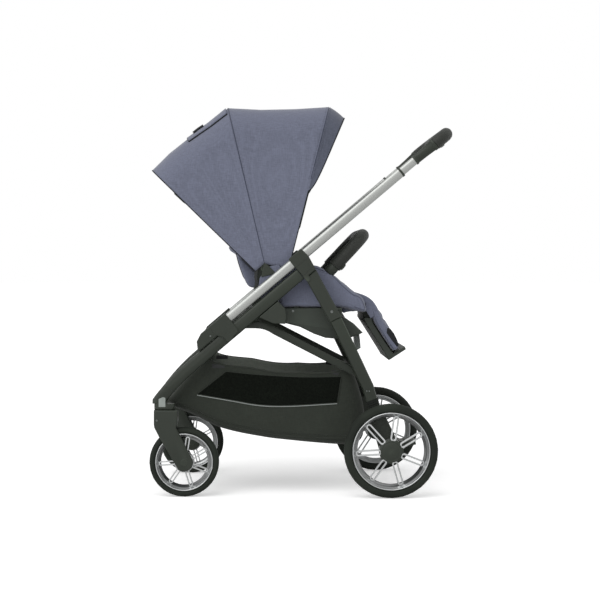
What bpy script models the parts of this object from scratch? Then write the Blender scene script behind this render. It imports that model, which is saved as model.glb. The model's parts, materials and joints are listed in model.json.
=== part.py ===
"""Reversible stroller with a folding chassis, a lift-off seat and a folding canopy.

Metres, +Z up. The front wheels are at -X and the handle at +X; left is the -Y side.
The origin is on the floor, under the middle of the whole object.
Each side frame lies in its own plane, and its tubes are set out in a slanted frame:
s runs up along the handle tube from the collar, and d is the depth below the tube's axis.
"""

from math import atan2, cos, hypot, pi, radians, sin

import bmesh
import bpy
from mathutils import Matrix, Vector

# Clearances
GAP = 0.0003           # between pieces that touch
RUNNING = 0.0004       # round a sliding tube
PIN_CLEARANCE = 0.0003  # round a hinge pin
PAST = 0.01            # how far a cutter reaches past what it cuts

# Side frames
FRAME_Y = 0.235        # centre plane of each side frame
SLOPE = radians(40.2)  # handle tube and front leg above the floor
COLLAR_X = -0.0119     # middle of the collar, on the handle tube's axis
COLLAR_Z = 0.668

# Handle
TUBE_DEPTH = 0.028
TUBE_WIDTH = 0.024
TUBE_WALL = 0.0018
TUBE_FOOT_S = -0.298   # lower end of the silver tube, inside the slider
TUBE_TOP_S = 0.378
RING_LENGTH = 0.006
INNER_SHOWN = 0.047    # inner tube between the ring and the bracket
INNER_OVERLAP = 0.100  # inner tube held inside the outer one
BRACKET_LENGTH = 0.0745
BRACKET_SOCKET = 0.022
GRIP_RADIUS = 0.0180
GRIP_BEND = 0.050
GRIP_REACH = 0.0470    # from the bracket to the crossbar's axis
GRIP_DROOP = 0.0060
BUTTON_LENGTH = 0.034
BUTTON_WIDTH = 0.012

# Front legs
LEG_BELOW = 0.036      # leg axis below the handle tube's axis
LEG_DEPTH = 0.035
LEG_WIDTH = 0.025
LEG_TOP_S = -0.0208
LEG_BEND_S = -0.420
LEG_BEND_RADIUS = 0.60
LEG_BEND_ANGLE = radians(15.0)
LEG_FOOT_Z = 0.2630
LEG_NOSE_X = -0.4206   # the leg's front corner is cut off upright here
LEG_BEND_STEPS = 5

# Slider on each leg
SLIDER_WIDTH = 0.034
PIVOT_S = -0.2433      # brace pivot on the slider
EYE_RADIUS = 0.0105

# Collar and rear leg hinge
COLLAR_WIDTH = 0.034
HINGE_S = -0.0130      # fold hinge, at the collar's inner corner
HINGE_D = 0.0602
KNUCKLE_RADIUS = 0.006
HINGE_PIN_RADIUS = 0.0025
LUG_THICKNESS = 0.0026

# Rear legs
REAR_LEG_DEPTH = 0.036
REAR_LEG_WIDTH = 0.027
REAR_RING = (0.0955, 0.498)
REAR_KNEE = (0.1285, 0.430)
REAR_SHIN = (0.1860, 0.309)
REAR_FOOT = (0.1975, 0.272)

# Brace between slider and rear leg
BRACE_WIDTH = 0.010
BRACE_GAP = 0.0025     # between the slider's side and the brace
BRACE_Y = FRAME_Y - SLIDER_WIDTH / 2 - BRACE_GAP - BRACE_WIDTH / 2
BRACE_DEPTH = 0.022
BRACE_REAR = (0.1735, 0.337)
BRACE_LEVEL = 0.044    # the brace leaves the slider level for this far
BRACE_PIN_RADIUS = 0.004

# Wheels
REAR_RADIUS = 0.132
REAR_AXLE_X = 0.2485
REAR_WHEEL_OUT = 0.042  # the rear wheels stand outside the side frames by this
REAR_TRACK_Y = FRAME_Y + REAR_WHEEL_OUT
REAR_TYRE_WIDTH = 0.043
REAR_RIM_RADIUS = 0.1092
FRONT_RADIUS = 0.098
FRONT_AXLE_X = -0.3318
FRONT_TYRE_WIDTH = 0.036
FRONT_RIM_RADIUS = 0.0812
SPOKES = 7
SPOKE_PHASE = radians(81.0)
REAR_HUB_RADIUS = 0.034
REAR_SPOKE_WIDTH = 0.0125
REAR_SPOKE_BAR = 0.0034
FRONT_HUB_RADIUS = 0.029
FRONT_SPOKE_WIDTH = 0.0105
FRONT_SPOKE_BAR = 0.0030
SPOKE_THICKNESS = 0.007
RIM_INSET = 0.0015     # the rim's edges lie inside the tyre's sides by this
RIM_LIP = 0.0032
CAP_RADIUS = 0.0345
CAP_BORE = 0.0325
AXLE_RADIUS = 0.005
WHEEL_STEPS = 28

# Casters
SWIVEL_X = -0.3913
HOUSING_LENGTH = 0.0575
HOUSING_FOOT_Z = 0.2455
KINGPIN_RADIUS = 0.006
KINGPIN_TOP_Z = 0.283
KINGPIN_IN_FORK = 0.012
FORK_WIDTH = 0.051
FORK_HUB_RADIUS = 0.0255
TYRE_CLEARANCE = 0.0045
TYRE_SIDE_CLEARANCE = 0.0018
FORK_BOSS_RADIUS = 0.0095
FORK_BOSS_STEP = 0.0012

# Rear suspension and brake
HOUSING_TOP_GAP = 0.031  # from the rear leg's foot to the axle housing
ROD_RADIUS = 0.008
ROD_LENGTH = 0.048
AXLE_HOUSING_WIDTH = 0.026
AXLE_HOUSING_RADIUS = 0.030
AXLE_HOUSING_IN = 0.001  # the housing's middle lies inside the side frame's by this
BOOT_DEPTH = 0.036
BOOT_GROOVE_DEPTH = 0.031
BOOT_RIBS = 3
AXLE_BAR_RADIUS = 0.009
PEDAL_WIDTH = 0.090
PEDAL_BOSS_RADIUS = 0.0165

# Seat
SEAT_INSET = 0.035     # the seat's sides lie inside the side frames' middles by this
SEAT_HALF = FRAME_Y - SEAT_INSET
HUB_X = -0.1065        # recline and canopy hub
HUB_Z = 0.644
HUB_RADIUS = 0.024
HUB_PIN_RADIUS = 0.004
HUB_PIN_INNER_Y = SEAT_HALF - 0.0215
HUB_PIN_OUTER_Y = SEAT_HALF + 0.0105
HUB_ARM_THICKNESS = 0.0099
TONGUE_REACH = 0.0080  # how far the seat's tongue stands out into the mount
MOUNT_GAP = 0.0028     # between the seat's side and the mount
TONGUE_X0 = -0.0930
TONGUE_X1 = -0.0670
TONGUE_FOOT_Z = 0.4995
TONGUE_ROOM = 0.0006   # round the tongue in its slot
BACK_ANGLE = radians(137.2)
BACK_LENGTH = 0.392
RECLINE_HANDLE_WIDTH = 0.090
BACK_HALF = SEAT_HALF - 0.028
BACK_ARM_THICKNESS = 0.0175
BACK_ARM_Y = BACK_HALF + 0.0075
SEAT_TOP_Z = 0.5302
CALF_HINGE = (0.1875, 0.528)
CALF_HALF = SEAT_HALF - 0.050
CALF_KNUCKLE_HALF = CALF_HALF - 0.050
CALF_PIN_HALF = CALF_HALF - 0.023
CALF_PIN_RADIUS = 0.0030
BUMPER_FOOT = (0.0775, 0.630)
BUMPER_TOP = (0.1785, 0.738)
BUMPER_HALF = SEAT_HALF - 0.017
BUMPER_RADIUS = 0.0185
BUMPER_BEND = 0.060
BUMPER_SLEEVE = 0.0159  # radius where the bar pushes over its stud
STUD_RADIUS = 0.008
STUD_LENGTH = 0.026    # of the stud inside the bar's sleeve
STUD_ROOT = 0.165      # from the bar's foot down into the seat
WING_WIDTH = 0.032     # each side wing of the seat pad
LEVER_PIVOT = (0.1687, 0.4477)
LEVER_HALF = 0.030
LEVER_PIN_RADIUS = 0.0025
LEVER_LUG_RADIUS = 0.0055
LEVER_LUG_THICKNESS = 0.004

# Harness
HARNESS_LIFT = 0.0264  # the straps' lower face over the backrest's line
STRAP_WIDTH = 0.036
STRAP_THICKNESS = 0.003

# Canopy
CANOPY_HALF = SEAT_HALF + 0.0130
MIDDLE_BOW_Y = SEAT_HALF + 0.0022
FRONT_BOW_Y = SEAT_HALF + 0.0064
BOW_THICKNESS = 0.0038
BOW_DEPTH = 0.010
BOW_EYE_RADIUS = 0.0105
BOW_INSIDE = 0.0068    # the bows lie inside the cloth's outer face by this
VISOR_FOOT_Z = 0.862
VISOR_REACH = 0.046
VISOR_DROP = 0.030
CANOPY_SKIN = 0.0030
CANOPY_SHOULDER = 0.075
CANOPY_CROWN = 0.012

# Basket
BASKET_INSET = 0.037   # the basket's sides lie inside the side frames' middles by this
BASKET_HALF = FRAME_Y - BASKET_INSET
BASKET_WALL = 0.004

# Bar between the feet of the front legs, which carries the basket's front edge
CROSSBAR_S = -0.5446
CROSSBAR_D = 0.0612
CROSSBAR_RADIUS = 0.007

LEFT = -1
RIGHT = 1
SIDES = (("left", LEFT), ("right", RIGHT))

ALONG = Vector((cos(SLOPE), 0.0, sin(SLOPE)))
BELOW = Vector((sin(SLOPE), 0.0, -cos(SLOPE)))
ACROSS = Vector((0.0, 1.0, 0.0))
UP = Vector((0.0, 0.0, 1.0))
FORWARD = Vector((1.0, 0.0, 0.0))


# Placing points

def side(s, d):
    """(x, z) of a point in a side frame, from its slanted coordinates."""
    return (
        COLLAR_X + s * ALONG.x + d * BELOW.x,
        COLLAR_Z + s * ALONG.z + d * BELOW.z,
    )


def sides(*pairs):
    return [side(s, d) for s, d in pairs]


def back(e, f):
    """(x, z) of a point on the backrest: e up along it from the hub, f towards the child."""
    return (
        HUB_X + e * cos(BACK_ANGLE) + f * sin(BACK_ANGLE),
        HUB_Z + e * sin(BACK_ANGLE) - f * cos(BACK_ANGLE),
    )


def at(point, y):
    return Vector((point[0], y, point[1]))


def arc(centre, radius, start, end, steps):
    """Points on an arc in the side plane, angles from +X towards +Z."""
    angles = [start + (end - start) * i / steps for i in range(steps + 1)]
    return [(centre[0] + radius * cos(a), centre[1] + radius * sin(a)) for a in angles]


def rounded(corners, radius, steps=3):
    """The outline with each corner turned into an arc that touches both its sides."""
    points = []
    count = len(corners)
    for i, corner in enumerate(corners):
        here = Vector(corner)
        before = Vector(corners[i - 1]) - here
        after = Vector(corners[(i + 1) % count]) - here
        half = before.angle(after) / 2
        reach = min(radius / max(sin(half) / cos(half), 1e-6), 0.45 * before.length, 0.45 * after.length)
        start = here + before.normalized() * reach
        end = here + after.normalized() * reach
        for k in range(steps + 1):
            t = k / steps
            points.append(tuple(start * (1 - t) ** 2 + here * 2 * t * (1 - t) + end * t ** 2))
    return points


# Materials

def srgb(value):
    value /= 255
    return value / 12.92 if value <= 0.04045 else ((value + 0.055) / 1.055) ** 2.4


def material(name, colour, roughness, metallic=0.0):
    made = bpy.data.materials.new(name)
    made.use_nodes = True
    shader = made.node_tree.nodes["Principled BSDF"]
    shader.inputs["Base Color"].default_value = (*(srgb(c) for c in colour), 1.0)
    shader.inputs["Roughness"].default_value = roughness
    shader.inputs["Metallic"].default_value = metallic
    return made


# Meshes

def made(name, bm, finish, smooth=True):
    """An object of the bmesh, with its faces pointing out."""
    bmesh.ops.recalc_face_normals(bm, faces=bm.faces)
    mesh = bpy.data.meshes.new(name)
    bm.to_mesh(mesh)
    bm.free()
    if smooth:
        mesh.shade_smooth()
        mesh.set_sharp_from_angle(angle=radians(40))
    obj = bpy.data.objects.new(name, mesh)
    bpy.context.scene.collection.objects.link(obj)
    obj.data.materials.append(finish)
    return obj


def skin_rings(bm, rings, closed=False):
    """Quads between successive rings of vertices."""
    pairs = list(zip(rings, rings[1:] + rings[:1])) if closed else list(zip(rings, rings[1:]))
    count = len(rings[0])
    for near, far in pairs:
        for i in range(count):
            j = (i + 1) % count
            bm.faces.new((near[i], near[j], far[j], far[i]))


def loft(name, rings, finish):
    """A closed solid through rings of points, with flat ends."""
    bm = bmesh.new()
    verts = [[bm.verts.new(p) for p in ring] for ring in rings]
    skin_rings(bm, verts)
    bm.faces.new(verts[0])
    bm.faces.new(verts[-1])
    return made(name, bm, finish)


def section(centre, first, second, depth, width, count=16, power=2.0):
    """A ring round the centre: a superellipse, round at power 2 and squarer above it."""
    ring = []
    for i in range(count):
        a = 2 * pi * (i + 0.5) / count
        u = abs(cos(a)) ** (2 / power) * (1 if cos(a) > 0 else -1)
        v = abs(sin(a)) ** (2 / power) * (1 if sin(a) > 0 else -1)
        ring.append(centre + first * (u * depth / 2) + second * (v * width / 2))
    return ring


def sweep(name, path, normal, sizes, finish, count=16, power=2.0, wall=None):
    """A bar or tube along a path. sizes holds (depth, width) for each point of the path."""
    rings = []
    inner = []
    for i, point in enumerate(path):
        before = path[max(i - 1, 0)]
        after = path[min(i + 1, len(path) - 1)]
        tangent = (after - before).normalized()
        first = normal.cross(tangent).normalized()
        bend = 1.0
        if 0 < i < len(path) - 1:
            bend = 1 / max((point - before).normalized().dot(tangent), 0.5)
        depth, width = sizes[i]
        rings.append(section(point, first, normal, depth * bend, width, count, power))
        if wall:
            inner.append(section(point, first, normal, depth * bend - 2 * wall, width - 2 * wall,
                                 count, power))
    if not wall:
        return loft(name, rings, finish)
    bm = bmesh.new()
    outer_verts = [[bm.verts.new(p) for p in ring] for ring in rings]
    inner_verts = [[bm.verts.new(p) for p in ring] for ring in inner]
    skin_rings(bm, outer_verts + inner_verts[::-1], closed=True)
    return made(name, bm, finish)


def prism(name, outline, y, thickness, finish, bevel=0.0, segments=1):
    """A side outline of (x, z) points given a thickness across, centred on y."""
    bm = bmesh.new()
    ring = [bm.verts.new(at(p, y - thickness / 2)) for p in outline]
    face = bm.faces.new(ring)
    grown = bmesh.ops.extrude_face_region(bm, geom=[face])
    moved = [v for v in grown["geom"] if isinstance(v, bmesh.types.BMVert)]
    bmesh.ops.translate(bm, verts=moved, vec=ACROSS * thickness)
    if bevel:
        rims = [e for e in bm.edges if abs(e.verts[0].co.y - e.verts[1].co.y) < thickness / 2]
        bmesh.ops.bevel(bm, geom=rims, offset=bevel, segments=segments, profile=0.5,
                        affect="EDGES")
    return made(name, bm, finish)


def rod(name, start, end, radius, finish, count=16):
    """A round bar between two points."""
    axis = (end - start).normalized()
    first = axis.orthogonal().normalized()
    second = axis.cross(first)
    rings = [section(p, first, second, 2 * radius, 2 * radius, count) for p in (start, end)]
    return loft(name, rings, finish)


def turned(name, profile, centre, finish, steps=WHEEL_STEPS):
    """A ring turned round an axis along Y. profile holds (radius, y) points of a closed outline."""
    bm = bmesh.new()
    ring = [bm.verts.new((r, y, 0.0)) for r, y in profile]
    edges = [bm.edges.new((ring[i], ring[(i + 1) % len(ring)])) for i in range(len(ring))]
    bmesh.ops.spin(bm, geom=ring + edges, cent=(0, 0, 0), axis=(0, 1, 0), dvec=(0, 0, 0),
                   angle=2 * pi, steps=steps, use_merge=True)
    bmesh.ops.remove_doubles(bm, verts=bm.verts, dist=1e-6)
    bmesh.ops.translate(bm, verts=bm.verts, vec=centre)
    return made(name, bm, finish)


def combine(target, other, operation):
    """Adds a Boolean whose other shape is a hidden helper."""
    other.hide_render = True
    other.display_type = "WIRE"
    change = target.modifiers.new(operation.lower(), "BOOLEAN")
    change.operation = operation
    change.object = other
    change.solver = "EXACT"


def cut(target, *cutters):
    for cutter in cutters:
        combine(target, cutter, "DIFFERENCE")
    return target


def join(target, *others):
    for other in others:
        combine(target, other, "UNION")
    return target


def baked(obj):
    """The object with its modifiers turned into mesh, so that it can be copied or mirrored."""
    bpy.context.view_layer.update()
    graph = bpy.context.evaluated_depsgraph_get()
    mesh = bpy.data.meshes.new_from_object(obj.evaluated_get(graph))
    helpers = [m.object for m in obj.modifiers if m.type == "BOOLEAN"]
    obj.modifiers.clear()
    obj.data = mesh
    for helper in helpers:
        bpy.data.objects.remove(helper)
    return obj


def pair(build):
    """Builds the left piece with its name ending in left, and its mirror image on the right."""
    first = baked(build())
    mesh = first.data.copy()
    mesh.transform(Matrix.Scale(-1, 4, ACROSS))
    mesh.flip_normals()
    second = bpy.data.objects.new(first.name.replace("left", "right"), mesh)
    bpy.context.scene.collection.objects.link(second)
    return first, second


def pivot(name, place, parent=None):
    """An empty on a joint's axis, which carries the pieces that turn or slide there."""
    empty = bpy.data.objects.new(name, None)
    bpy.context.scene.collection.objects.link(empty)
    empty["place"] = tuple(place)
    empty.location = Vector(place) - (Vector(parent["place"]) if parent else Vector())
    empty.parent = parent
    return empty


def carry(empty, *pieces):
    """Hangs pieces on an empty without moving them."""
    for piece in pieces:
        piece.data.transform(Matrix.Translation(-Vector(empty["place"])))
        piece.parent = empty


# Handle

def handle_tube(metal):
    path = [at(side(s, 0), -FRAME_Y) for s in (TUBE_FOOT_S, TUBE_TOP_S)]
    return sweep("handle_tube_left", path, ACROSS, [(TUBE_DEPTH, TUBE_WIDTH)] * 2, metal,
                 count=12, power=2.5, wall=TUBE_WALL)


def inner_size():
    return (TUBE_DEPTH - 2 * TUBE_WALL - 2 * GAP, TUBE_WIDTH - 2 * TUBE_WALL - 2 * GAP)


def oval_cutter(name, start_s, end_s, size, finish):
    """A cutter along the handle tube's axis."""
    path = [at(side(s, 0), -FRAME_Y) for s in (start_s, end_s)]
    return sweep(name, path, ACROSS, [size] * 2, finish, count=12, power=2.5)


def tube_ring(plastic):
    start = TUBE_TOP_S + GAP
    path = [at(side(s, 0), -FRAME_Y) for s in (start, start + RING_LENGTH)]
    ring = sweep("tube_ring_left", path, ACROSS, [(TUBE_DEPTH + 0.003, TUBE_WIDTH + 0.003)] * 2,
                 plastic, count=12, power=2.5)
    size = [v + 2 * GAP for v in inner_size()]
    return cut(ring, oval_cutter("ring_bore", start - 0.01, start + 0.02, size, plastic))


def bracket_start():
    return TUBE_TOP_S + GAP + RING_LENGTH + INNER_SHOWN


def inner_tube(metal):
    ends = (TUBE_TOP_S - INNER_OVERLAP, bracket_start() + BRACKET_SOCKET - GAP)
    path = [at(side(s, 0), -FRAME_Y) for s in ends]
    return sweep("inner_tube_left", path, ACROSS, [inner_size()] * 2, metal,
                 count=12, power=2.5, wall=TUBE_WALL)


def handle_bracket(plastic):
    start = bracket_start()
    end = start + BRACKET_LENGTH
    stations = [
        (start, 0.0300), (start + 0.0045, 0.0300), (start + 0.007, 0.0265), (start + 0.035, 0.0285),
        (end - 0.010, 0.0325), (end - 0.0075, 0.0365), (end - 0.0005, 0.0365),
    ]
    path = [at(side(s, 0), -FRAME_Y) for s, _ in stations]
    sizes = [(depth, 0.94 * depth) for _, depth in stations]
    body = sweep("handle_bracket_left", path, ACROSS, sizes, plastic, count=12, power=2.4)
    size = [v + 2 * GAP for v in inner_size()]
    return cut(body, oval_cutter("bracket_socket", start - 0.01, start + BRACKET_SOCKET, size,
                                 plastic))


def grip_path():
    """Centreline of the grip: up one side, across, and down the other."""
    start = bracket_start() + BRACKET_LENGTH
    corner_y = FRAME_Y - GRIP_BEND
    plan = [(0.0, -FRAME_Y)]
    for i in range(6):
        a = pi - pi / 2 * i / 5
        plan.append((GRIP_REACH - GRIP_BEND + GRIP_BEND * sin(a), -corner_y + GRIP_BEND * cos(a)))
    plan[1] = (max(plan[1][0], 0.003), plan[1][1])
    plan += [(s, -y) for s, y in reversed(plan)]
    return [at(side(start + s, GRIP_DROOP * (s / GRIP_REACH) ** 2), y) for s, y in plan]


def handle_grip(leather, button_cutter):
    path = grip_path()
    sizes = [(2 * GRIP_RADIUS, 2 * GRIP_RADIUS)] * len(path)
    grip = sweep("handle_grip", path, BELOW, sizes, leather, count=12)
    return baked(cut(grip, button_cutter))


def telescope_button(name, plastic, grow, inward):
    """The release under the crossbar. As a cutter it is grown all round and reaches inward."""
    start = bracket_start() + BRACKET_LENGTH + GRIP_REACH
    centre = at(side(start, GRIP_DROOP), 0.0)
    rings = [
        section(centre + BELOW * depth, ACROSS, ALONG, BUTTON_LENGTH + 2 * grow,
                BUTTON_WIDTH + 2 * grow, 16, 3.0)
        for depth in (GRIP_RADIUS - 0.0075 - inward, GRIP_RADIUS + 0.0020 + grow * 5)
    ]
    return loft(name, rings, plastic)


# Slider

def slider(plastic):
    outline = sides(
        (-0.2540, -0.0172), (-0.3430, -0.0168), (-0.3655, -0.0075), (-0.3785, 0.0120),
        (-0.3785, 0.0178), (-0.3120, 0.0178), (-0.3030, 0.0300), (-0.3000, 0.0530),
        (-0.2850, 0.0530), (-0.2760, 0.0495), (-0.2600, 0.0480), (-0.2540, 0.0400),
    )
    body = prism("slider_left", outline, -FRAME_Y, SLIDER_WIDTH, plastic, bevel=0.0025)
    wall = (SLIDER_WIDTH - LEG_WIDTH) / 2 - RUNNING
    lug_y = -FRAME_Y + SLIDER_WIDTH / 2 - wall / 2
    eye = side(PIVOT_S, LEG_BELOW)
    tail = side(PIVOT_S - 0.030, LEG_BELOW)
    lug = prism("slider_lug", capsule(tail, eye, EYE_RADIUS), lug_y, wall, plastic)
    leg_top = LEG_BELOW - LEG_DEPTH / 2 - RUNNING
    hollow = sides((-0.40, leg_top), (-0.20, leg_top), (-0.20, 0.08), (-0.40, 0.08))
    channel = prism("slider_channel", hollow, -FRAME_Y, LEG_WIDTH + 2 * RUNNING, plastic)
    size = (TUBE_DEPTH + 2 * GAP, TUBE_WIDTH + 2 * GAP)
    socket = oval_cutter("slider_socket", TUBE_FOOT_S - GAP, -0.24, size, plastic)
    return cut(join(body, lug), channel, socket)


def capsule(start, end, radius, steps=5):
    """Outline of a bar with round ends between two points of the side plane."""
    a = atan2(end[1] - start[1], end[0] - start[0])
    return (arc(end, radius, a - pi / 2, a + pi / 2, steps)
            + arc(start, radius, a + pi / 2, a + 3 * pi / 2, steps))


# Front legs

def leg_path():
    """Points down the leg from the collar: straight, then bending steadily steeper."""
    points = [side(LEG_TOP_S, LEG_BELOW), side(LEG_BEND_S, LEG_BELOW)]
    for i in range(1, LEG_BEND_STEPS + 1):
        a = LEG_BEND_ANGLE * i / LEG_BEND_STEPS
        points.append(side(LEG_BEND_S - LEG_BEND_RADIUS * sin(a),
                           LEG_BELOW + LEG_BEND_RADIUS * (1 - cos(a))))
    return [at(p, -FRAME_Y) for p in points]


def front_leg(plastic):
    path = leg_path()
    leg = sweep("front_leg_left", path, ACROSS, [(LEG_DEPTH, LEG_WIDTH)] * len(path), plastic,
                count=12, power=4.0)
    below = prism("leg_foot_cut", box(-0.6, -0.2, 0.0, LEG_FOOT_Z), -FRAME_Y, 2 * LEG_DEPTH, plastic)
    nose = prism("leg_nose_cut", box(-0.6, LEG_NOSE_X, 0.2, 0.4), -FRAME_Y, 2 * LEG_DEPTH, plastic)
    return cut(leg, below, nose, kingpin("leg_bore", PIN_CLEARANCE, plastic))


def kingpin(name, grow, finish):
    """The upright pin that the fork swivels on. As a cutter it is grown all round."""
    centre = Vector((SWIVEL_X, -FRAME_Y, 0.0))
    foot = centre + UP * (HOUSING_FOOT_Z - KINGPIN_IN_FORK - grow)
    top = centre + UP * (KINGPIN_TOP_Z + grow * 2)
    return rod(name, foot, top, KINGPIN_RADIUS + grow, finish, 12)


def swivel_housing(plastic):
    """The block between the leg's foot and the fork, with its lower edge eased."""
    centre = Vector((SWIVEL_X + 0.0040, -FRAME_Y, 0.0))
    ease = 0.002
    stations = ((HOUSING_FOOT_Z, ease), (HOUSING_FOOT_Z + ease, 0.0), (LEG_FOOT_Z - GAP, 0.0))
    rings = [
        section(centre + UP * z, FORWARD, ACROSS, HOUSING_LENGTH - trim, LEG_WIDTH - trim, 16, 4.0)
        for z, trim in stations
    ]
    housing = loft("swivel_housing_left", rings, plastic)
    return cut(housing, kingpin("housing_bore", PIN_CLEARANCE, plastic))


def front_crossbar(plastic):
    """The bar between the feet of the front legs, just over the basket's front edge."""
    inner = FRAME_Y - LEG_WIDTH / 2 - GAP
    centre = side(CROSSBAR_S, CROSSBAR_D)
    return rod("front_crossbar", at(centre, -inner), at(centre, inner), CROSSBAR_RADIUS, plastic, 14)


def frame_collar(plastic):
    outline = rounded(sides(
        (-0.0203, -0.0176), (0.0270, -0.0180), (0.0291, 0.0140),
        (0.0208, HINGE_D - KNUCKLE_RADIUS - GAP), (-0.0190, HINGE_D - KNUCKLE_RADIUS - GAP),
        (-0.0203, 0.0127),
    ), 0.003, 1)
    body = prism("frame_collar_left", outline, -FRAME_Y, COLLAR_WIDTH, plastic, bevel=0.002)
    hinge = side(HINGE_S, HINGE_D)
    lift = side(HINGE_S, HINGE_D - 0.012)
    reach = (COLLAR_WIDTH - LUG_THICKNESS) / 2
    ear = capsule(lift, hinge, KNUCKLE_RADIUS + 0.001)
    lugs = [prism(f"collar_lug_{n}", ear, -FRAME_Y + n * reach, LUG_THICKNESS, plastic) for n in (-1, 1)]
    pin = rod("collar_pin", at(hinge, -FRAME_Y - reach), at(hinge, -FRAME_Y + reach),
              HINGE_PIN_RADIUS, plastic, 12)
    size = (TUBE_DEPTH + 2 * RUNNING, TUBE_WIDTH + 2 * RUNNING)
    bore = oval_cutter("collar_bore", -0.06, 0.06, size, plastic)
    return cut(join(body, *lugs, pin), bore)


def seat_mount(plastic):
    leg_edge = LEG_BELOW + LEG_DEPTH / 2 + GAP
    outline = sides((-0.188, leg_edge), (-0.118, leg_edge)) + [
        (-0.0470, SEAT_TOP_Z), (-0.0440, 0.508), (-0.0470, 0.4867), (-0.0812, 0.4881),
    ]
    outer = FRAME_Y + LEG_WIDTH / 2
    inner = SEAT_HALF + MOUNT_GAP
    mount = prism("seat_mount_left", outline, -(outer + inner) / 2, outer - inner, plastic, bevel=0.0015)
    room = box(TONGUE_X0 - TONGUE_ROOM, TONGUE_X1 + TONGUE_ROOM, TONGUE_FOOT_Z - 0.001, 0.62)
    slot = prism("mount_slot", room, -inner, 2 * (TONGUE_REACH - MOUNT_GAP + TONGUE_ROOM), plastic)
    return cut(mount, slot)


def box(x0, x1, z0, z1):
    """Outline of an upright rectangle in the side plane."""
    return [(x0, z0), (x1, z0), (x1, z1), (x0, z1)]


# Rear legs

def rear_leg_joint(plastic):
    """The moulded top of the rear leg, whose knuckle sits between the collar's lugs."""
    hinge = side(HINGE_S, HINGE_D)
    top = side(0.0208, HINGE_D - KNUCKLE_RADIUS)
    half = REAR_LEG_DEPTH / 2
    run = Vector((REAR_KNEE[0] - REAR_RING[0], REAR_KNEE[1] - REAR_RING[1])).normalized()
    out = Vector((-run.y, run.x))
    right = (REAR_RING[0] + out.x * half, REAR_RING[1] + out.y * half)
    left = (REAR_RING[0] - out.x * half, REAR_RING[1] - out.y * half)
    edge = atan2(hinge[1] - left[1], hinge[0] - left[0]) + pi / 2
    crest = atan2(-BELOW.z, -BELOW.x)
    outline = [top, right, left] + arc(hinge, KNUCKLE_RADIUS, edge, crest, 5)
    width = COLLAR_WIDTH - 2 * LUG_THICKNESS - 2 * GAP
    body = prism("rear_leg_joint_left", outline, -FRAME_Y, width, plastic, bevel=0.003)
    bore = rod("joint_bore", at(hinge, -FRAME_Y - 0.03), at(hinge, -FRAME_Y + 0.03),
               HINGE_PIN_RADIUS + PIN_CLEARANCE, plastic, 12)
    return cut(body, bore)


def suspension_axis():
    """Unit vector up the suspension rod, from the rear axle to the rear leg's foot."""
    return (at(REAR_FOOT, 0) - Vector((REAR_AXLE_X, 0, REAR_RADIUS))).normalized()


def rear_leg(plastic):
    start = (Vector(REAR_KNEE) - Vector(REAR_RING)).normalized() * GAP + Vector(REAR_RING)
    path = [at(p, -FRAME_Y) for p in (start, REAR_KNEE, REAR_SHIN, REAR_FOOT)]
    path.insert(3, path[3] + suspension_axis() * 0.008)
    sizes = [(REAR_LEG_DEPTH - 0.001, REAR_LEG_WIDTH)] * 2 + [(REAR_LEG_DEPTH - 0.002, REAR_LEG_WIDTH)] * 3
    leg = sweep("rear_leg_left", path, ACROSS, sizes, plastic, count=12, power=4.0)
    inner = -FRAME_Y + REAR_LEG_WIDTH / 2
    pin_end = -BRACE_Y + BRACE_WIDTH / 2 + 0.0015
    pin = rod("brace_pin", at(BRACE_REAR, inner - 0.004), at(BRACE_REAR, pin_end), BRACE_PIN_RADIUS,
              plastic, 12)
    foot = at(REAR_FOOT, -FRAME_Y)
    bore = rod("rod_bore", foot - suspension_axis() * PAST, foot + suspension_axis() * 0.045,
               ROD_RADIUS + PIN_CLEARANCE, plastic, 12)
    return cut(join(leg, pin), bore)


def suspension_boot(rubber):
    """The ribbed boot round the suspension rod."""
    foot = at(REAR_FOOT, -FRAME_Y)
    down = -suspension_axis()
    length = HOUSING_TOP_GAP - 2 * GAP
    path = []
    sizes = []
    for i in range(2 * BOOT_RIBS + 1):
        path.append(foot + down * (GAP + length * i / (2 * BOOT_RIBS)))
        depth = BOOT_DEPTH if i % 2 == 0 else BOOT_GROOVE_DEPTH
        sizes.append((depth, depth * 0.72))
    boot = sweep("suspension_boot_left", path, ACROSS, sizes, rubber, count=12, power=3.0)
    bore = rod("boot_bore", foot - down * 0.02, foot + down * 0.06, ROD_RADIUS + PIN_CLEARANCE, rubber, 12)
    return cut(boot, bore)


def axle_housing(plastic):
    """The moulding that holds the rear axle, with its rod up the leg and its stub axle."""
    foot = at(REAR_FOOT, -FRAME_Y)
    down = -suspension_axis()
    top = foot + down * HOUSING_TOP_GAP
    side_way = ACROSS.cross(down).normalized()
    corners = [top + side_way * 0.018, top - side_way * 0.018]
    if corners[0].x > corners[1].x:
        corners.reverse()
    centre = (REAR_AXLE_X, REAR_RADIUS)
    radius = AXLE_HOUSING_RADIUS
    left_edge = atan2(centre[1] - corners[0].z, centre[0] - corners[0].x) - pi / 2
    right_edge = atan2(centre[1] - corners[1].z, centre[0] - corners[1].x) + pi / 2
    ring = arc(centre, radius, left_edge, left_edge + 2 * pi - (left_edge - right_edge) % (2 * pi), 10)
    outline = [(corners[1].x, corners[1].z), (corners[0].x, corners[0].z)] + ring
    body = prism("axle_housing_left", outline, -FRAME_Y + AXLE_HOUSING_IN, AXLE_HOUSING_WIDTH, plastic,
                 bevel=0.003)
    shaft = rod("suspension_rod", top + down * PAST, top - down * ROD_LENGTH, ROD_RADIUS, plastic, 12)
    hub = Vector((REAR_AXLE_X, 0, REAR_RADIUS))
    stub = rod("stub_axle", hub - ACROSS * FRAME_Y, hub - ACROSS * (REAR_TRACK_Y + 0.010), AXLE_RADIUS,
               plastic, 12)
    return join(body, shaft, stub)


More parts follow.
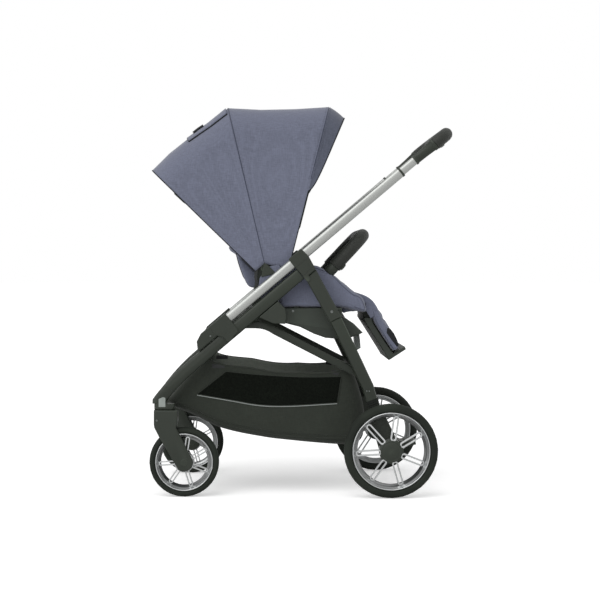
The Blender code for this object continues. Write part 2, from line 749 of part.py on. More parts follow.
def rear_axle_bar(metal):
    """The bar between the two axle housings."""
    inner = FRAME_Y - AXLE_HOUSING_IN - AXLE_HOUSING_WIDTH / 2 - GAP
    hub = Vector((REAR_AXLE_X, 0, REAR_RADIUS))
    return rod("rear_axle_bar", hub - ACROSS * inner, hub + ACROSS * inner, AXLE_BAR_RADIUS, metal, 14)


def brake_pedal(plastic):
    """The pedal's split boss runs on the axle bar, and its tread reaches back."""
    hub = (REAR_AXLE_X, REAR_RADIUS)
    boss = arc(hub, PEDAL_BOSS_RADIUS, radians(75), radians(330), 9)
    outline = boss + [
        (hub[0] + 0.060, hub[1] - 0.021), (hub[0] + 0.096, hub[1] - 0.012),
        (hub[0] + 0.093, hub[1] + 0.003), (hub[0] + 0.055, hub[1] - 0.004),
    ]
    pedal = prism("brake_pedal", outline, 0.0, PEDAL_WIDTH, plastic, bevel=0.002)
    end = Vector((hub[0], 0, hub[1]))
    reach = PEDAL_WIDTH / 2 + PAST
    bore = rod("pedal_bore", end - ACROSS * reach, end + ACROSS * reach, AXLE_BAR_RADIUS + PIN_CLEARANCE,
               plastic, 14)
    return baked(cut(pedal, bore))


def brace(metal):
    """The link from the slider to the rear leg: level at the slider, then straight down to its pin."""
    front = side(PIVOT_S, LEG_BELOW)
    rear = BRACE_REAR
    level = Vector((front[0] + BRACE_LEVEL, front[1]))
    middle = level + Vector((0.030, 0.0))
    slope = level + Vector((0.055, -0.018))
    path = [front]
    for i in range(5):
        t = i / 4
        path.append(tuple(level * (1 - t) ** 2 + middle * 2 * t * (1 - t) + slope * t * t))
    path.append(rear)
    points = [at(p, -BRACE_Y) for p in path]
    bar = sweep("brace_left", points, ACROSS, [(BRACE_DEPTH, BRACE_WIDTH)] * len(points), metal,
                count=8, power=4.0)
    ends = [
        prism(f"brace_eye_{n}", capsule(p, (p[0] + 0.0005, p[1]), BRACE_DEPTH / 2), -BRACE_Y,
              BRACE_WIDTH, metal)
        for n, p in enumerate((front, rear))
    ]
    hole = rod("brace_hole", at(rear, -BRACE_Y - 0.02), at(rear, -BRACE_Y + 0.02),
               BRACE_PIN_RADIUS + PIN_CLEARANCE, metal, 12)
    return cut(join(bar, *ends), hole)


# Wheels

def tyre(name, centre, radius, rim_radius, width, rubber):
    inner = rim_radius + GAP
    half = width / 2
    round_edge = 0.55 * (radius - inner)
    shoulder = radius - 0.22 * round_edge
    profile = [
        (inner, -half * 0.80), (radius - round_edge, -half), (shoulder, -half * 0.78), (radius, -half * 0.35),
        (radius, half * 0.35), (shoulder, half * 0.78), (radius - round_edge, half), (inner, half * 0.80),
    ]
    return turned(name, profile, centre, rubber)


def spoke(name, angle, start, end, width, bar, centre, y, thickness, metal):
    """One spoke: a long thin loop of bar with round ends, from hub to rim."""
    way = Vector((cos(angle), sin(angle)))
    middle = Vector((centre.x, centre.z))
    near = middle + way * (start + width / 2)
    far = middle + way * (end - width / 2)
    bm = bmesh.new()
    rings = []
    for radius, level in ((width / 2, -1), (width / 2, 1), (width / 2 - bar, 1), (width / 2 - bar, -1)):
        outline = capsule(near, far, radius, 2)
        rings.append([bm.verts.new(at(p, y + level * thickness / 2)) for p in outline])
    skin_rings(bm, rings, closed=True)
    return made(name, bm, metal)


def rim(name, centre, radius, width, hub_radius, spoke_width, bar, metal):
    """A cast wheel: barrel with a lip at each edge, seven looped spokes and a hub ring."""
    half = width / 2 - RIM_INSET
    well = radius - RIM_LIP - 0.001
    barrel = [
        (radius, -half), (radius, half), (radius - RIM_LIP, half), (well, half - 0.004),
        (well, -half + 0.004), (radius - RIM_LIP, -half),
    ]
    wheel = turned(name, barrel, centre, metal)
    hub = [(AXLE_RADIUS + PIN_CLEARANCE, -half), (AXLE_RADIUS + PIN_CLEARANCE, half - 0.004),
           (hub_radius * 0.7, half - 0.004), (hub_radius, 0.006), (hub_radius * 0.8, -half)]
    outward = 1 if centre.y > 0 else -1
    hub = [(r, y * outward) for r, y in hub]
    parts = [turned("hub_ring", hub, centre, metal, 16)]
    start = hub_radius - 0.003
    end = radius - RIM_LIP + 0.0008
    for i in range(SPOKES):
        angle = SPOKE_PHASE + 2 * pi * i / SPOKES
        parts.append(spoke(f"spoke_{i}", angle, start, end, spoke_width, bar, centre,
                           centre.y + outward * 0.001, SPOKE_THICKNESS, metal))
    return join(wheel, *parts)


def hub_cap(plastic):
    """The dark domed disc over the rear hub."""
    centre = Vector((REAR_AXLE_X, -REAR_TRACK_Y, REAR_RADIUS))
    base = -(REAR_TYRE_WIDTH / 2 - RIM_INSET - 0.004) - GAP
    stations = [(CAP_RADIUS, base + 0.004), (CAP_RADIUS, base - 0.001), (0.030, base - 0.0035),
                (0.012, base - 0.0045)]
    rings = [section(centre + ACROSS * y, FORWARD, UP, 2 * r, 2 * r, 16) for r, y in stations]
    cap = loft("rear_hub_cap_left", rings, plastic)
    inside = rod("cap_inside", centre + ACROSS * (base - 0.0001), centre + ACROSS * (base + 2 * PAST), CAP_BORE,
                 plastic, 16)
    return cut(cap, inside)


def fork(plastic):
    """A two-armed caster fork, cut out round the tyre, with its kingpin and axle."""
    hub = (FRONT_AXLE_X, FRONT_RADIUS)
    top = HOUSING_FOOT_Z - 0.0008
    outline = [
        (-0.3493, top), (-0.4160, top), (-0.4162, 0.2050), (-0.4148, 0.1964), (-0.4008, 0.1684),
        (-0.3896, 0.1488),
    ]
    left_edge = atan2(hub[1] - 0.1488, hub[0] + 0.3896) - pi / 2
    right_edge = atan2(hub[1] - 0.1964, hub[0] + 0.3538) + pi / 2
    outline += arc(hub, FORK_HUB_RADIUS, left_edge, right_edge, 8) + [(-0.3538, 0.1964), (-0.3493, 0.2130)]
    body = prism("fork_left", outline, -FRAME_Y, FORK_WIDTH, plastic, bevel=0.0025)
    centre = Vector((hub[0], -FRAME_Y, hub[1]))
    slot_half = FRONT_TYRE_WIDTH / 2 + TYRE_SIDE_CLEARANCE
    slot = rod("fork_slot", centre - ACROSS * slot_half, centre + ACROSS * slot_half,
               FRONT_RADIUS + TYRE_CLEARANCE, plastic, 30)
    reach = FORK_WIDTH / 2 + FORK_BOSS_STEP
    bosses = [
        rod(f"fork_boss_{n}", centre + ACROSS * n * reach, centre + ACROSS * n * (slot_half + 0.001),
            FORK_BOSS_RADIUS, plastic, 14)
        for n in (-1, 1)
    ]
    axle = rod("fork_axle", centre - ACROSS * (slot_half + 0.002), centre + ACROSS * (slot_half + 0.002),
               AXLE_RADIUS, plastic, 12)
    return join(cut(body, slot), axle, *bosses, kingpin("fork_kingpin", 0.0, plastic))


# Seat

def seat_base(plastic):
    """The closed moulding under the seat, with hub arms, tongues, bumper studs and calf knuckle."""
    tray = [
        (-0.1475, SEAT_TOP_Z), (-0.1475, 0.518), (-0.1125, 0.500), (-0.0462, 0.4867), (-0.0045, 0.4762),
        (0.0354, 0.4563), (0.0680, 0.4449), (0.1225, 0.4400), (0.1640, 0.4540), (0.1747, 0.4600),
        (0.1477, 0.4867), (0.1150, 0.5029), (0.1150, SEAT_TOP_Z),
    ]
    body = prism("seat_base", tray, 0.0, 2 * SEAT_HALF, plastic, bevel=0.003)
    hub = (HUB_X, HUB_Z)
    arm = arc(hub, HUB_RADIUS, radians(-20), radians(200), 8) + [(-0.1420, 0.526), (-0.0700, 0.526)]
    parts = []
    for name, way in SIDES:
        parts.append(prism(f"hub_arm_{name}", arm, way * (SEAT_HALF - 0.005), HUB_ARM_THICKNESS, plastic))
        tongue = box(TONGUE_X0, TONGUE_X1, TONGUE_FOOT_Z, SEAT_TOP_Z - 0.0012)
        parts.append(prism(f"tongue_{name}", tongue, way * SEAT_HALF, 2 * TONGUE_REACH, plastic))
        parts.append(rod(f"hub_pin_{name}", at(hub, way * HUB_PIN_INNER_Y), at(hub, way * HUB_PIN_OUTER_Y),
                         HUB_PIN_RADIUS, plastic, 12))
        foot = at(BUMPER_FOOT, way * BUMPER_HALF)
        parts.append(rod(f"bumper_stud_{name}", foot - bumper_way() * STUD_ROOT,
                         foot + bumper_way() * (STUD_LENGTH - 0.002), STUD_RADIUS, plastic, 10))
    lug = capsule((0.1600, 0.4640), LEVER_PIVOT, LEVER_LUG_RADIUS)
    lug_y = LEVER_HALF + GAP + LEVER_LUG_THICKNESS / 2
    parts.append(rod("lever_pin", at(LEVER_PIVOT, -lug_y), at(LEVER_PIVOT, lug_y), LEVER_PIN_RADIUS,
                     plastic, 10))
    for name, way in SIDES:
        parts.append(prism(f"lever_lug_{name}", lug, way * lug_y, LEVER_LUG_THICKNESS, plastic))
    neck = [(0.090, 0.5000), (0.1120, 0.4980), (CALF_HINGE[0] - 0.004, CALF_HINGE[1] - 0.0085)]
    knuckle = arc(CALF_HINGE, 0.0090, radians(-100), radians(120), 6)
    outline = neck + knuckle + [(0.100, 0.5250)]
    parts.append(prism("calf_knuckle", outline, 0.0, 2 * CALF_KNUCKLE_HALF, plastic))
    join(body, *parts)
    bore = rod("calf_bore", at(CALF_HINGE, -CALF_HALF - PAST), at(CALF_HINGE, CALF_HALF + PAST),
               CALF_PIN_RADIUS + PIN_CLEARANCE, plastic, 12)
    return baked(cut(body, bore))


def bumper_way():
    """Unit vector up the bumper bar, the way that it pulls off its studs."""
    return at((Vector(BUMPER_TOP) - Vector(BUMPER_FOOT)).normalized(), 0.0)


def seat_pad(fabric):
    """The padded seat with a raised wing at each side, as one soft solid."""
    wing = [
        (-0.0660, SEAT_TOP_Z + 0.0005), (0.1150, SEAT_TOP_Z + 0.0005), (0.1565, 0.5206), (0.1890, 0.5160),
        (0.1760, 0.5600), (0.1495, 0.5756), (0.1255, 0.5950), (0.0881, 0.6295), (0.0450, 0.6500),
        (-0.0125, 0.6570), (-0.0500, 0.6480), (-0.0620, 0.6200),
    ]
    body = prism("seat_pad", wing, 0.0, 2 * SEAT_HALF, fabric, bevel=0.006)
    hollow = [
        (-0.0900, 0.5720), (0.0300, 0.5640), (0.1300, 0.5700), (0.1800, 0.5560), (0.2400, 0.5450),
        (0.2400, 0.75), (-0.0900, 0.75),
    ]
    cut(body, prism("seat_hollow", hollow, 0.0, 2 * (SEAT_HALF - WING_WIDTH), fabric))
    clear = 0.0010
    up = bumper_way()
    for name, way in SIDES:
        foot = at(BUMPER_FOOT, way * BUMPER_HALF)
        stud = rod(f"stud_room_{name}", foot - up * 0.22, foot + up * PAST, STUD_RADIUS + clear, fabric, 12)
        sleeve = rod(f"sleeve_room_{name}", foot - up * clear, foot + up * 0.10, BUMPER_SLEEVE + clear,
                     fabric, 16)
        cut(body, stud, sleeve)
    room = [(0.070, 0.480), (0.23, 0.480), (0.23, CALF_HINGE[1] - 0.006)]
    room += arc(CALF_HINGE, 0.0135, radians(0), radians(120), 5) + [(0.090, 0.5275)]
    cut(body, prism("calf_room", room, 0.0, 2 * (CALF_HALF - 0.014), fabric))
    return baked(body)


def bumper_bar(leather):
    """A U-shaped bar whose sleeves push over the seat's two studs."""
    up = bumper_way()
    normal = ACROSS.cross(up)
    rise = hypot(BUMPER_TOP[0] - BUMPER_FOOT[0], BUMPER_TOP[1] - BUMPER_FOOT[1])
    plan = [(0.0, -BUMPER_HALF, BUMPER_SLEEVE), (STUD_LENGTH - 0.002, -BUMPER_HALF, BUMPER_SLEEVE),
            (STUD_LENGTH, -BUMPER_HALF, BUMPER_RADIUS)]
    corner_y = BUMPER_HALF - BUMPER_BEND
    for i in range(6):
        a = pi - pi / 2 * i / 5
        plan.append((rise - BUMPER_BEND * (1 - sin(a)), -corner_y + BUMPER_BEND * cos(a), BUMPER_RADIUS))
    plan += [(s, -y, r) for s, y, r in reversed(plan)]
    path = [at(BUMPER_FOOT, 0.0) + up * s + ACROSS * y for s, y, _ in plan]
    sizes = [(2 * r, 2 * r) for _, _, r in plan]
    bar = sweep("bumper_bar", path, normal, sizes, leather, count=10)
    for name, way in SIDES:
        foot = at(BUMPER_FOOT, way * BUMPER_HALF)
        cut(bar, rod(f"sleeve_{name}", foot - up * PAST, foot + up * STUD_LENGTH, STUD_RADIUS + GAP,
                     leather, 12))
    return baked(bar)


def release_lever(plastic):
    """The lever under the seat's front edge that frees the seat from its mounts."""
    outline = arc(LEVER_PIVOT, 0.0070, radians(0), radians(180), 6) + [
        (0.1617, 0.4300), (0.1650, 0.4050), (0.1690, 0.3994), (0.1800, 0.4060), (0.1780, 0.4300),
    ]
    lever = prism("seat_release_lever", outline, 0.0, 2 * LEVER_HALF, plastic, bevel=0.0015)
    reach = LEVER_HALF + PAST
    bore = rod("lever_bore", at(LEVER_PIVOT, -reach), at(LEVER_PIVOT, reach),
               LEVER_PIN_RADIUS + PIN_CLEARANCE, plastic, 10)
    return baked(cut(lever, bore))


def calf_frame(plastic):
    """The hinged board under the calf rest, with the footrest across its end."""
    board = arc(CALF_HINGE, 0.0085, radians(15), radians(195), 6) + [
        (0.1815, 0.4930), (0.2415, 0.3980), (0.2537, 0.3772), (0.3030, 0.4090), (0.2998, 0.4170),
        (0.2660, 0.3960), (0.2330, 0.4450), (0.2080, 0.4850),
    ]
    body = prism("calf_frame", board, 0.0, 2 * CALF_HALF, plastic, bevel=0.0015)
    room = box(0.10, CALF_HINGE[0] + 0.012, 0.5165, 0.60)
    middle = prism("knuckle_room", room, 0.0, 2 * (CALF_KNUCKLE_HALF + 2 * GAP), plastic)
    trim = 2 * (CALF_HALF - CALF_PIN_HALF - 0.001)
    end_room = box(0.10, CALF_HINGE[0] + 0.020, 0.5000, 0.60)
    ends = [prism(f"knuckle_trim_{name}", end_room, way * CALF_HALF, trim, plastic) for name, way in SIDES]
    cut(body, middle, *ends)
    pin = rod("calf_pin", at(CALF_HINGE, -CALF_PIN_HALF), at(CALF_HINGE, CALF_PIN_HALF), CALF_PIN_RADIUS,
              plastic, 12)
    return baked(join(body, pin))


def calf_pad(fabric):
    """The padded calf rest on the outer face of its board."""
    outline = [
        (0.2010, 0.5120), (0.2115, 0.4860), (0.2365, 0.4455), (0.2645, 0.4045), (0.2800, 0.4100),
        (0.2815, 0.4220), (0.2455, 0.4805), (0.2100, 0.5450), (0.2020, 0.5440), (0.1990, 0.5250),
    ]
    return baked(prism("calf_pad", outline, 0.0, 2 * (CALF_HALF + 0.012), fabric, bevel=0.004))


# Backrest

def backrest_frame(plastic):
    """The board of the backrest, with a hub disc at each side."""
    board = [back(e, f) for e, f in (
        (-0.004, -0.0215), (0.200, -0.0225), (BACK_LENGTH, -0.0215),
        (BACK_LENGTH, -0.0125), (0.020, -0.0125), (-0.004, -0.0140),
    )]
    body = prism("backrest_frame", board, 0.0, 2 * BACK_HALF, plastic, bevel=0.001)
    hub = (HUB_X, HUB_Z)
    parts = []
    for name, way in SIDES:
        arm = arc(hub, 0.021, BACK_ANGLE - radians(200), BACK_ANGLE - radians(20), 8)
        arm += [back(0.115, -0.0130), back(0.115, -0.0205)]
        parts.append(prism(f"back_arm_{name}", arm, way * BACK_ARM_Y, BACK_ARM_THICKNESS, plastic))
    join(body, *parts)
    for name, way in SIDES:
        inner = at(hub, way * (BACK_ARM_Y - 3 * PAST))
        outer = at(hub, way * (BACK_ARM_Y + 3 * PAST))
        cut(body, rod(f"back_bore_{name}", inner, outer, HUB_PIN_RADIUS + PIN_CLEARANCE, plastic, 12))
    return baked(body)


def backrest_pad(fabric):
    """The padded back with the loose fold of cloth that hangs behind the hub."""
    outline = [back(e, f) for e, f in (
        (0.395, -0.0120), (0.400, 0.0060), (0.385, 0.0200), (0.200, 0.0260), (0.060, 0.0250), (0.000, 0.0160),
        (-0.028, -0.0100), (-0.026, -0.0520), (-0.010, -0.0700), (0.0044, -0.0690), (0.057, -0.0440),
        (0.088, -0.0240), (0.020, -0.0240), (-0.0080, -0.0260), (-0.0080, -0.0110), (0.020, -0.0120),
    )]
    return baked(prism("backrest_pad", outline, 0.0, 2 * (BACK_HALF - 0.004), fabric, bevel=0.0008))


def recline_handle(plastic):
    """The squeeze handle across the back of the board."""
    front = -0.02235
    rear = -0.0330
    outline = [back(e, f) for e, f in ((0.300, front), (0.345, front), (0.340, rear), (0.305, rear))]
    return baked(prism("recline_handle", outline, 0.0, RECLINE_HANDLE_WIDTH, plastic, bevel=0.002))


def harness(webbing):
    """Two shoulder straps that meet in a buckle, lying on the backrest."""
    straps = ((0.330, 0.060), (0.200, 0.058), (0.075, 0.022), (0.035, 0.022))
    outer = [(e, y + STRAP_WIDTH / 2) for e, y in straps]
    inner = [(e, y - STRAP_WIDTH / 2) for e, y in straps[:3]]
    loop = outer + [(e, -y) for e, y in reversed(outer)]
    loop += [(e, -y) for e, y in inner] + [(0.060, 0.0)] + inner[::-1]
    bm = bmesh.new()
    ring = [bm.verts.new(at(back(e, HARNESS_LIFT), y)) for e, y in loop]
    face = bm.faces.new(ring)
    grown = bmesh.ops.extrude_face_region(bm, geom=[face])
    moved = [v for v in grown["geom"] if isinstance(v, bmesh.types.BMVert)]
    way = at(back(0, STRAP_THICKNESS), 0) - at(back(0, 0), 0)
    bmesh.ops.translate(bm, verts=moved, vec=way)
    return made("harness", bm, webbing)


# Canopy

REAR_LINE = (back(0.030, -0.0225), (-0.4240, 0.9240))
REAR_CREASE = ((-0.1210, 0.6700), (-0.3220, 1.0140))
MIDDLE_LINE = ((-0.1090, 0.6720), (-0.2095, 1.1010))
FRONT_LINE = ((-0.0292, 0.6780), (0.0790, 1.1050))


def between(first, second, t, sag):
    """A line between two others, drawn in by sag at its top."""
    foot = Vector(first[0]).lerp(Vector(second[0]), t)
    top = Vector(first[1]).lerp(Vector(second[1]), t)
    inward = (foot - top).normalized() * sag
    return tuple(foot), tuple(top + inward)


def arch(line, half, reach=1.0, crown=CANOPY_CROWN):
    """Points of an arch that stands on both sides of the hub and rounds over at the top."""
    foot, top = Vector(line[0]), Vector(line[1])
    length = (top - foot).length
    up = (top - foot) / length
    rise = CANOPY_SHOULDER / length
    profile = [(half, reach * k / 4 * (1 - rise)) for k in range(4)]
    for i in range(4):
        a = pi / 2 * i / 4
        profile.append((half - CANOPY_SHOULDER * (1 - cos(a)), 1 - rise + rise * sin(a)))
    flat = half - CANOPY_SHOULDER
    for i in range(3):
        y = flat * (1 - i / 2)
        profile.append((y, 1 + crown / length * (1 - (y / flat) ** 2)))
    points = [at(foot + up * (k * length), -y) for y, k in profile]
    points += [at(foot + up * (k * length), y) for y, k in reversed(profile[:-1])]
    return points


def cloth(name, arches, skin, fabric):
    """A thin closed shell through the arches, thickened inward."""
    bm = bmesh.new()
    rows = [[bm.verts.new(p) for p in points] for points in arches]
    for near, far in zip(rows, rows[1:]):
        for i in range(len(near) - 1):
            bm.faces.new((near[i], far[i], far[i + 1], near[i + 1]))
    bm.normal_update()
    bmesh.ops.solidify(bm, geom=bm.faces[:], thickness=skin)
    return made(name, bm, fabric)


def canopy_rear_panel(fabric):
    lines = [REAR_LINE, between(REAR_LINE, REAR_CREASE, 0.5, -0.004), REAR_CREASE,
             between(REAR_CREASE, MIDDLE_LINE, 0.5, 0.002), MIDDLE_LINE]
    arches = [arch(line, CANOPY_HALF) for line in lines]
    return cloth("canopy_rear_panel", arches, CANOPY_SKIN, fabric)


def canopy_front_panel(fabric):
    """From the middle bow to the front bow, with the visor beyond it."""
    start = between(MIDDLE_LINE, FRONT_LINE, 0.010, 0.0)
    lines = [start, between(MIDDLE_LINE, FRONT_LINE, 0.33, 0.006),
             between(MIDDLE_LINE, FRONT_LINE, 0.67, 0.005), FRONT_LINE]
    arches = [arch(line, CANOPY_HALF) for line in lines]
    visor = []
    for point in arches[-1]:
        share = max(0.0, (point.z - VISOR_FOOT_Z) / (FRONT_LINE[1][1] - VISOR_FOOT_Z))
        reach = VISOR_REACH * share ** 0.45
        drop = VISOR_DROP * share ** 2
        visor.append(point + Vector((max(reach, CANOPY_SKIN / 2), 0.0, -drop)))
    return cloth("canopy_front_panel", arches + [visor], CANOPY_SKIN, fabric)


def bow(name, line, hub_y, foot_line, metal):
    """A flat canopy bow inside the cloth, ending in an eye round the hub pin."""
    arched = arch(line, CANOPY_HALF - BOW_INSIDE, crown=CANOPY_CROWN - 0.004)
    foot, top = Vector(line[0]), Vector(line[1])
    inward = at((foot - top).normalized(), 0) * BOW_INSIDE
    lowered = [point + inward for point in arched[1:-1]]
    path = [at(p, -hub_y) for p in foot_line] + lowered + [at(p, hub_y) for p in reversed(foot_line)]
    normal = ACROSS.cross(at((top - foot).normalized(), 0)).normalized()
    rings = []
    for i, point in enumerate(path):
        tangent = (path[min(i + 1, len(path) - 1)] - path[max(i - 1, 0)]).normalized()
        across = normal.cross(tangent).normalized()
        rings.append(section(point, across, normal, BOW_THICKNESS, BOW_DEPTH, 4, 12.0))
    body = loft(name, rings, metal)
    eyes = []
    for side_name, way in SIDES:
        eye = arc((HUB_X, HUB_Z), BOW_EYE_RADIUS, 0, 2 * pi, 10)[:-1]
        eyes.append(prism(f"{name}_eye_{side_name}", eye, way * hub_y, BOW_THICKNESS, metal))
    join(body, *eyes)
    for side_name, way in SIDES:
        inner = at((HUB_X, HUB_Z), way * (hub_y - PAST))
        outer = at((HUB_X, HUB_Z), way * (hub_y + PAST))
        cut(body, rod(f"{name}_hole_{side_name}", inner, outer, HUB_PIN_RADIUS + PIN_CLEARANCE, metal, 10))
    return baked(body)


# Basket

def basket(fabric):
    """An open bag whose floor dips towards the rear, with rounded lower edges."""
    front = Vector((0.6476, 0.7619))
    touch = Vector(side(CROSSBAR_S, CROSSBAR_D)) + Vector((front.y, -front.x)) * (CROSSBAR_RADIUS + GAP)
    top = [
        tuple(touch + front * 0.1810), (-0.1265, 0.3820), (-0.0565, 0.3750), (0.0645, 0.3780), (0.1380, 0.3880),
    ]
    bottom = [
        (0.1740, 0.1480), (0.1015, 0.1440), (-0.0275, 0.1510), (-0.1145, 0.1620), (-0.2310, 0.1875),
        (-0.3155, 0.2280), tuple(touch - front * 0.0120),
    ]

    def bag(name, inset, half, lift, rise):
        raised = [(x, z + rise) for x, z in top]
        rings = []
        for y, up in ((-half, lift), (-half + lift, 0.0), (half - lift, 0.0), (half, lift)):
            floor = [(x + (inset if i > 3 else -inset if i == 0 else 0.0), z + inset + up)
                     for i, (x, z) in enumerate(bottom)]
            floor[-1] = (floor[-1][0] + up * front.x / front.y, floor[-1][1])
            rim_line = [(x + (inset if i == 0 else -inset if i == 4 else 0.0), z)
                        for i, (x, z) in enumerate(raised)]
            rings.append([at(p, y) for p in rim_line + floor])
        return loft(name, rings, fabric)

    outer = bag("basket", 0.0, BASKET_HALF, 0.024, 0.0)
    inner = bag("basket_inside", BASKET_WALL, BASKET_HALF - BASKET_WALL, 0.022, 0.03)
    return baked(cut(outer, inner))


# Building

def clear_scene():
    for obj in list(bpy.data.objects):
        bpy.data.objects.remove(obj)


def main():
    clear_scene()
    dark = material("dark_plastic", (60, 66, 57), 0.45)
    silver = material("brushed_tube", (190, 194, 192), 0.30, 1.0)
    cast = material("wheel_silver", (196, 200, 198), 0.28, 1.0)
    rubber = material("tyre_rubber", (37, 42, 36), 0.75)
    leather = material("grip_leather", (44, 48, 42), 0.55)
    blue = material("seat_fabric", (112, 117, 138), 0.90)
    black = material("black_fabric", (52, 57, 50), 0.90)
    webbing = material("webbing", (40, 42, 42), 0.85)
    steel = material("dark_steel", (48, 52, 46), 0.40, 0.6)

    pair(lambda: front_leg(dark))
    pair(lambda: swivel_housing(dark))
    pair(lambda: frame_collar(dark))
    pair(lambda: seat_mount(dark))
    front_crossbar(dark)
    basket(black)

    handle = pivot("handle_axis", at(side(TUBE_FOOT_S, 0), 0.0))
    carry(handle, *pair(lambda: handle_tube(silver)), *pair(lambda: tube_ring(dark)),
          *pair(lambda: slider(dark)))
    grip = pivot("grip_axis", at(side(TUBE_TOP_S, 0), 0.0), handle)
    button_cutter = telescope_button("button_pocket", dark, GAP, 0.0045)
    carry(grip, *pair(lambda: inner_tube(silver)), *pair(lambda: handle_bracket(dark)),
          handle_grip(leather, button_cutter))
    button = telescope_button("telescope_button", dark, 0.0, 0.0)
    crossbar = at(side(bracket_start() + BRACKET_LENGTH + GRIP_REACH, GRIP_DROOP), 0.0)
    release = pivot("button_axis", crossbar, grip)
    carry(release, button)

    fold = pivot("fold_axis", at(side(HINGE_S, HINGE_D), 0.0))
    carry(fold, *pair(lambda: rear_leg_joint(dark)), *pair(lambda: rear_leg(dark)),
          *pair(lambda: suspension_boot(rubber)))
    for piece, (name, way) in zip(pair(lambda: brace(steel)), SIDES):
        carry(pivot(f"brace_axis_{name}", at(BRACE_REAR, way * BRACE_Y), fold), piece)
    axle = pivot("suspension_axis", at(REAR_FOOT, 0.0), fold)
    carry(axle, *pair(lambda: axle_housing(dark)), rear_axle_bar(steel))
    hub = Vector((REAR_AXLE_X, 0.0, REAR_RADIUS))
    carry(pivot("pedal_axis", hub, axle), brake_pedal(dark))

    rear_centre = hub - ACROSS * REAR_TRACK_Y
    tyres = pair(lambda: tyre("rear_tyre_left", rear_centre, REAR_RADIUS, REAR_RIM_RADIUS, REAR_TYRE_WIDTH,
                              rubber))
    rims = pair(lambda: rim("rear_rim_left", rear_centre, REAR_RIM_RADIUS, REAR_TYRE_WIDTH, REAR_HUB_RADIUS,
                            REAR_SPOKE_WIDTH, REAR_SPOKE_BAR, cast))
    caps = pair(lambda: hub_cap(dark))
    for i, (name, way) in enumerate(SIDES):
        spin = pivot(f"rear_wheel_axis_{name}", hub + ACROSS * way * REAR_TRACK_Y, axle)
        carry(spin, tyres[i], rims[i], caps[i])

    front_centre = Vector((FRONT_AXLE_X, -FRAME_Y, FRONT_RADIUS))
    forks = pair(lambda: fork(dark))
    tyres = pair(lambda: tyre("front_tyre_left", front_centre, FRONT_RADIUS, FRONT_RIM_RADIUS, FRONT_TYRE_WIDTH,
                              rubber))
    rims = pair(lambda: rim("front_rim_left", front_centre, FRONT_RIM_RADIUS, FRONT_TYRE_WIDTH,
                            FRONT_HUB_RADIUS, FRONT_SPOKE_WIDTH, FRONT_SPOKE_BAR, cast))
    for i, (name, way) in enumerate(SIDES):
        swivel = pivot(f"swivel_axis_{name}", (SWIVEL_X, way * FRAME_Y, HOUSING_FOOT_Z))
        carry(swivel, forks[i])
        wheel = pivot(f"front_wheel_axis_{name}", (FRONT_AXLE_X, way * FRAME_Y, FRONT_RADIUS), swivel)
        carry(wheel, tyres[i], rims[i])

    seat = pivot("seat_axis", (HUB_X, 0.0, HUB_Z))
    carry(seat, seat_base(dark), seat_pad(blue))
    carry(pivot("bumper_axis", at(BUMPER_FOOT, 0.0), seat), bumper_bar(leather))
    carry(pivot("lever_axis", at(LEVER_PIVOT, 0.0), seat), release_lever(dark))
    carry(pivot("calf_axis", at(CALF_HINGE, 0.0), seat), calf_frame(dark), calf_pad(blue))
    recline = pivot("recline_axis", (HUB_X, 0.0, HUB_Z), seat)
    carry(recline, backrest_frame(dark), backrest_pad(blue), harness(webbing))
    carry(pivot("recline_handle_axis", at(back(0.32, -0.028), 0.0), recline), recline_handle(dark))
    middle_axis = pivot("canopy_middle_axis", (HUB_X, 0.0, HUB_Z), recline)
    middle_foot = [(HUB_X, HUB_Z), (HUB_X - 0.001, HUB_Z + 0.012)]
    middle = bow("canopy_middle_bow", MIDDLE_LINE, MIDDLE_BOW_Y, middle_foot, steel)
    carry(middle_axis, middle, canopy_rear_panel(blue))
    front_axis = pivot("canopy_front_axis", (HUB_X, 0.0, HUB_Z), middle_axis)
    front_foot = [(HUB_X, HUB_Z), (HUB_X + 0.030, HUB_Z + 0.006)]
    front = bow("canopy_front_bow", FRONT_LINE, FRONT_BOW_Y, front_foot, steel)
    carry(front_axis, front, canopy_front_panel(blue))


main()
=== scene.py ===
"""Studio picture of a reversible stroller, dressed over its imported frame.

Metres, +Z up. The front wheels are at -X and the handle at +X. The left side, at -Y, faces the camera.
"""

import json
import logging
from collections.abc import Callable, Sequence
from dataclasses import dataclass
from enum import Enum
from math import cos, exp, pi, radians, sin, tau

import bmesh
import bpy
from mathutils import Matrix, Vector, noise
from mathutils.bvhtree import BVHTree

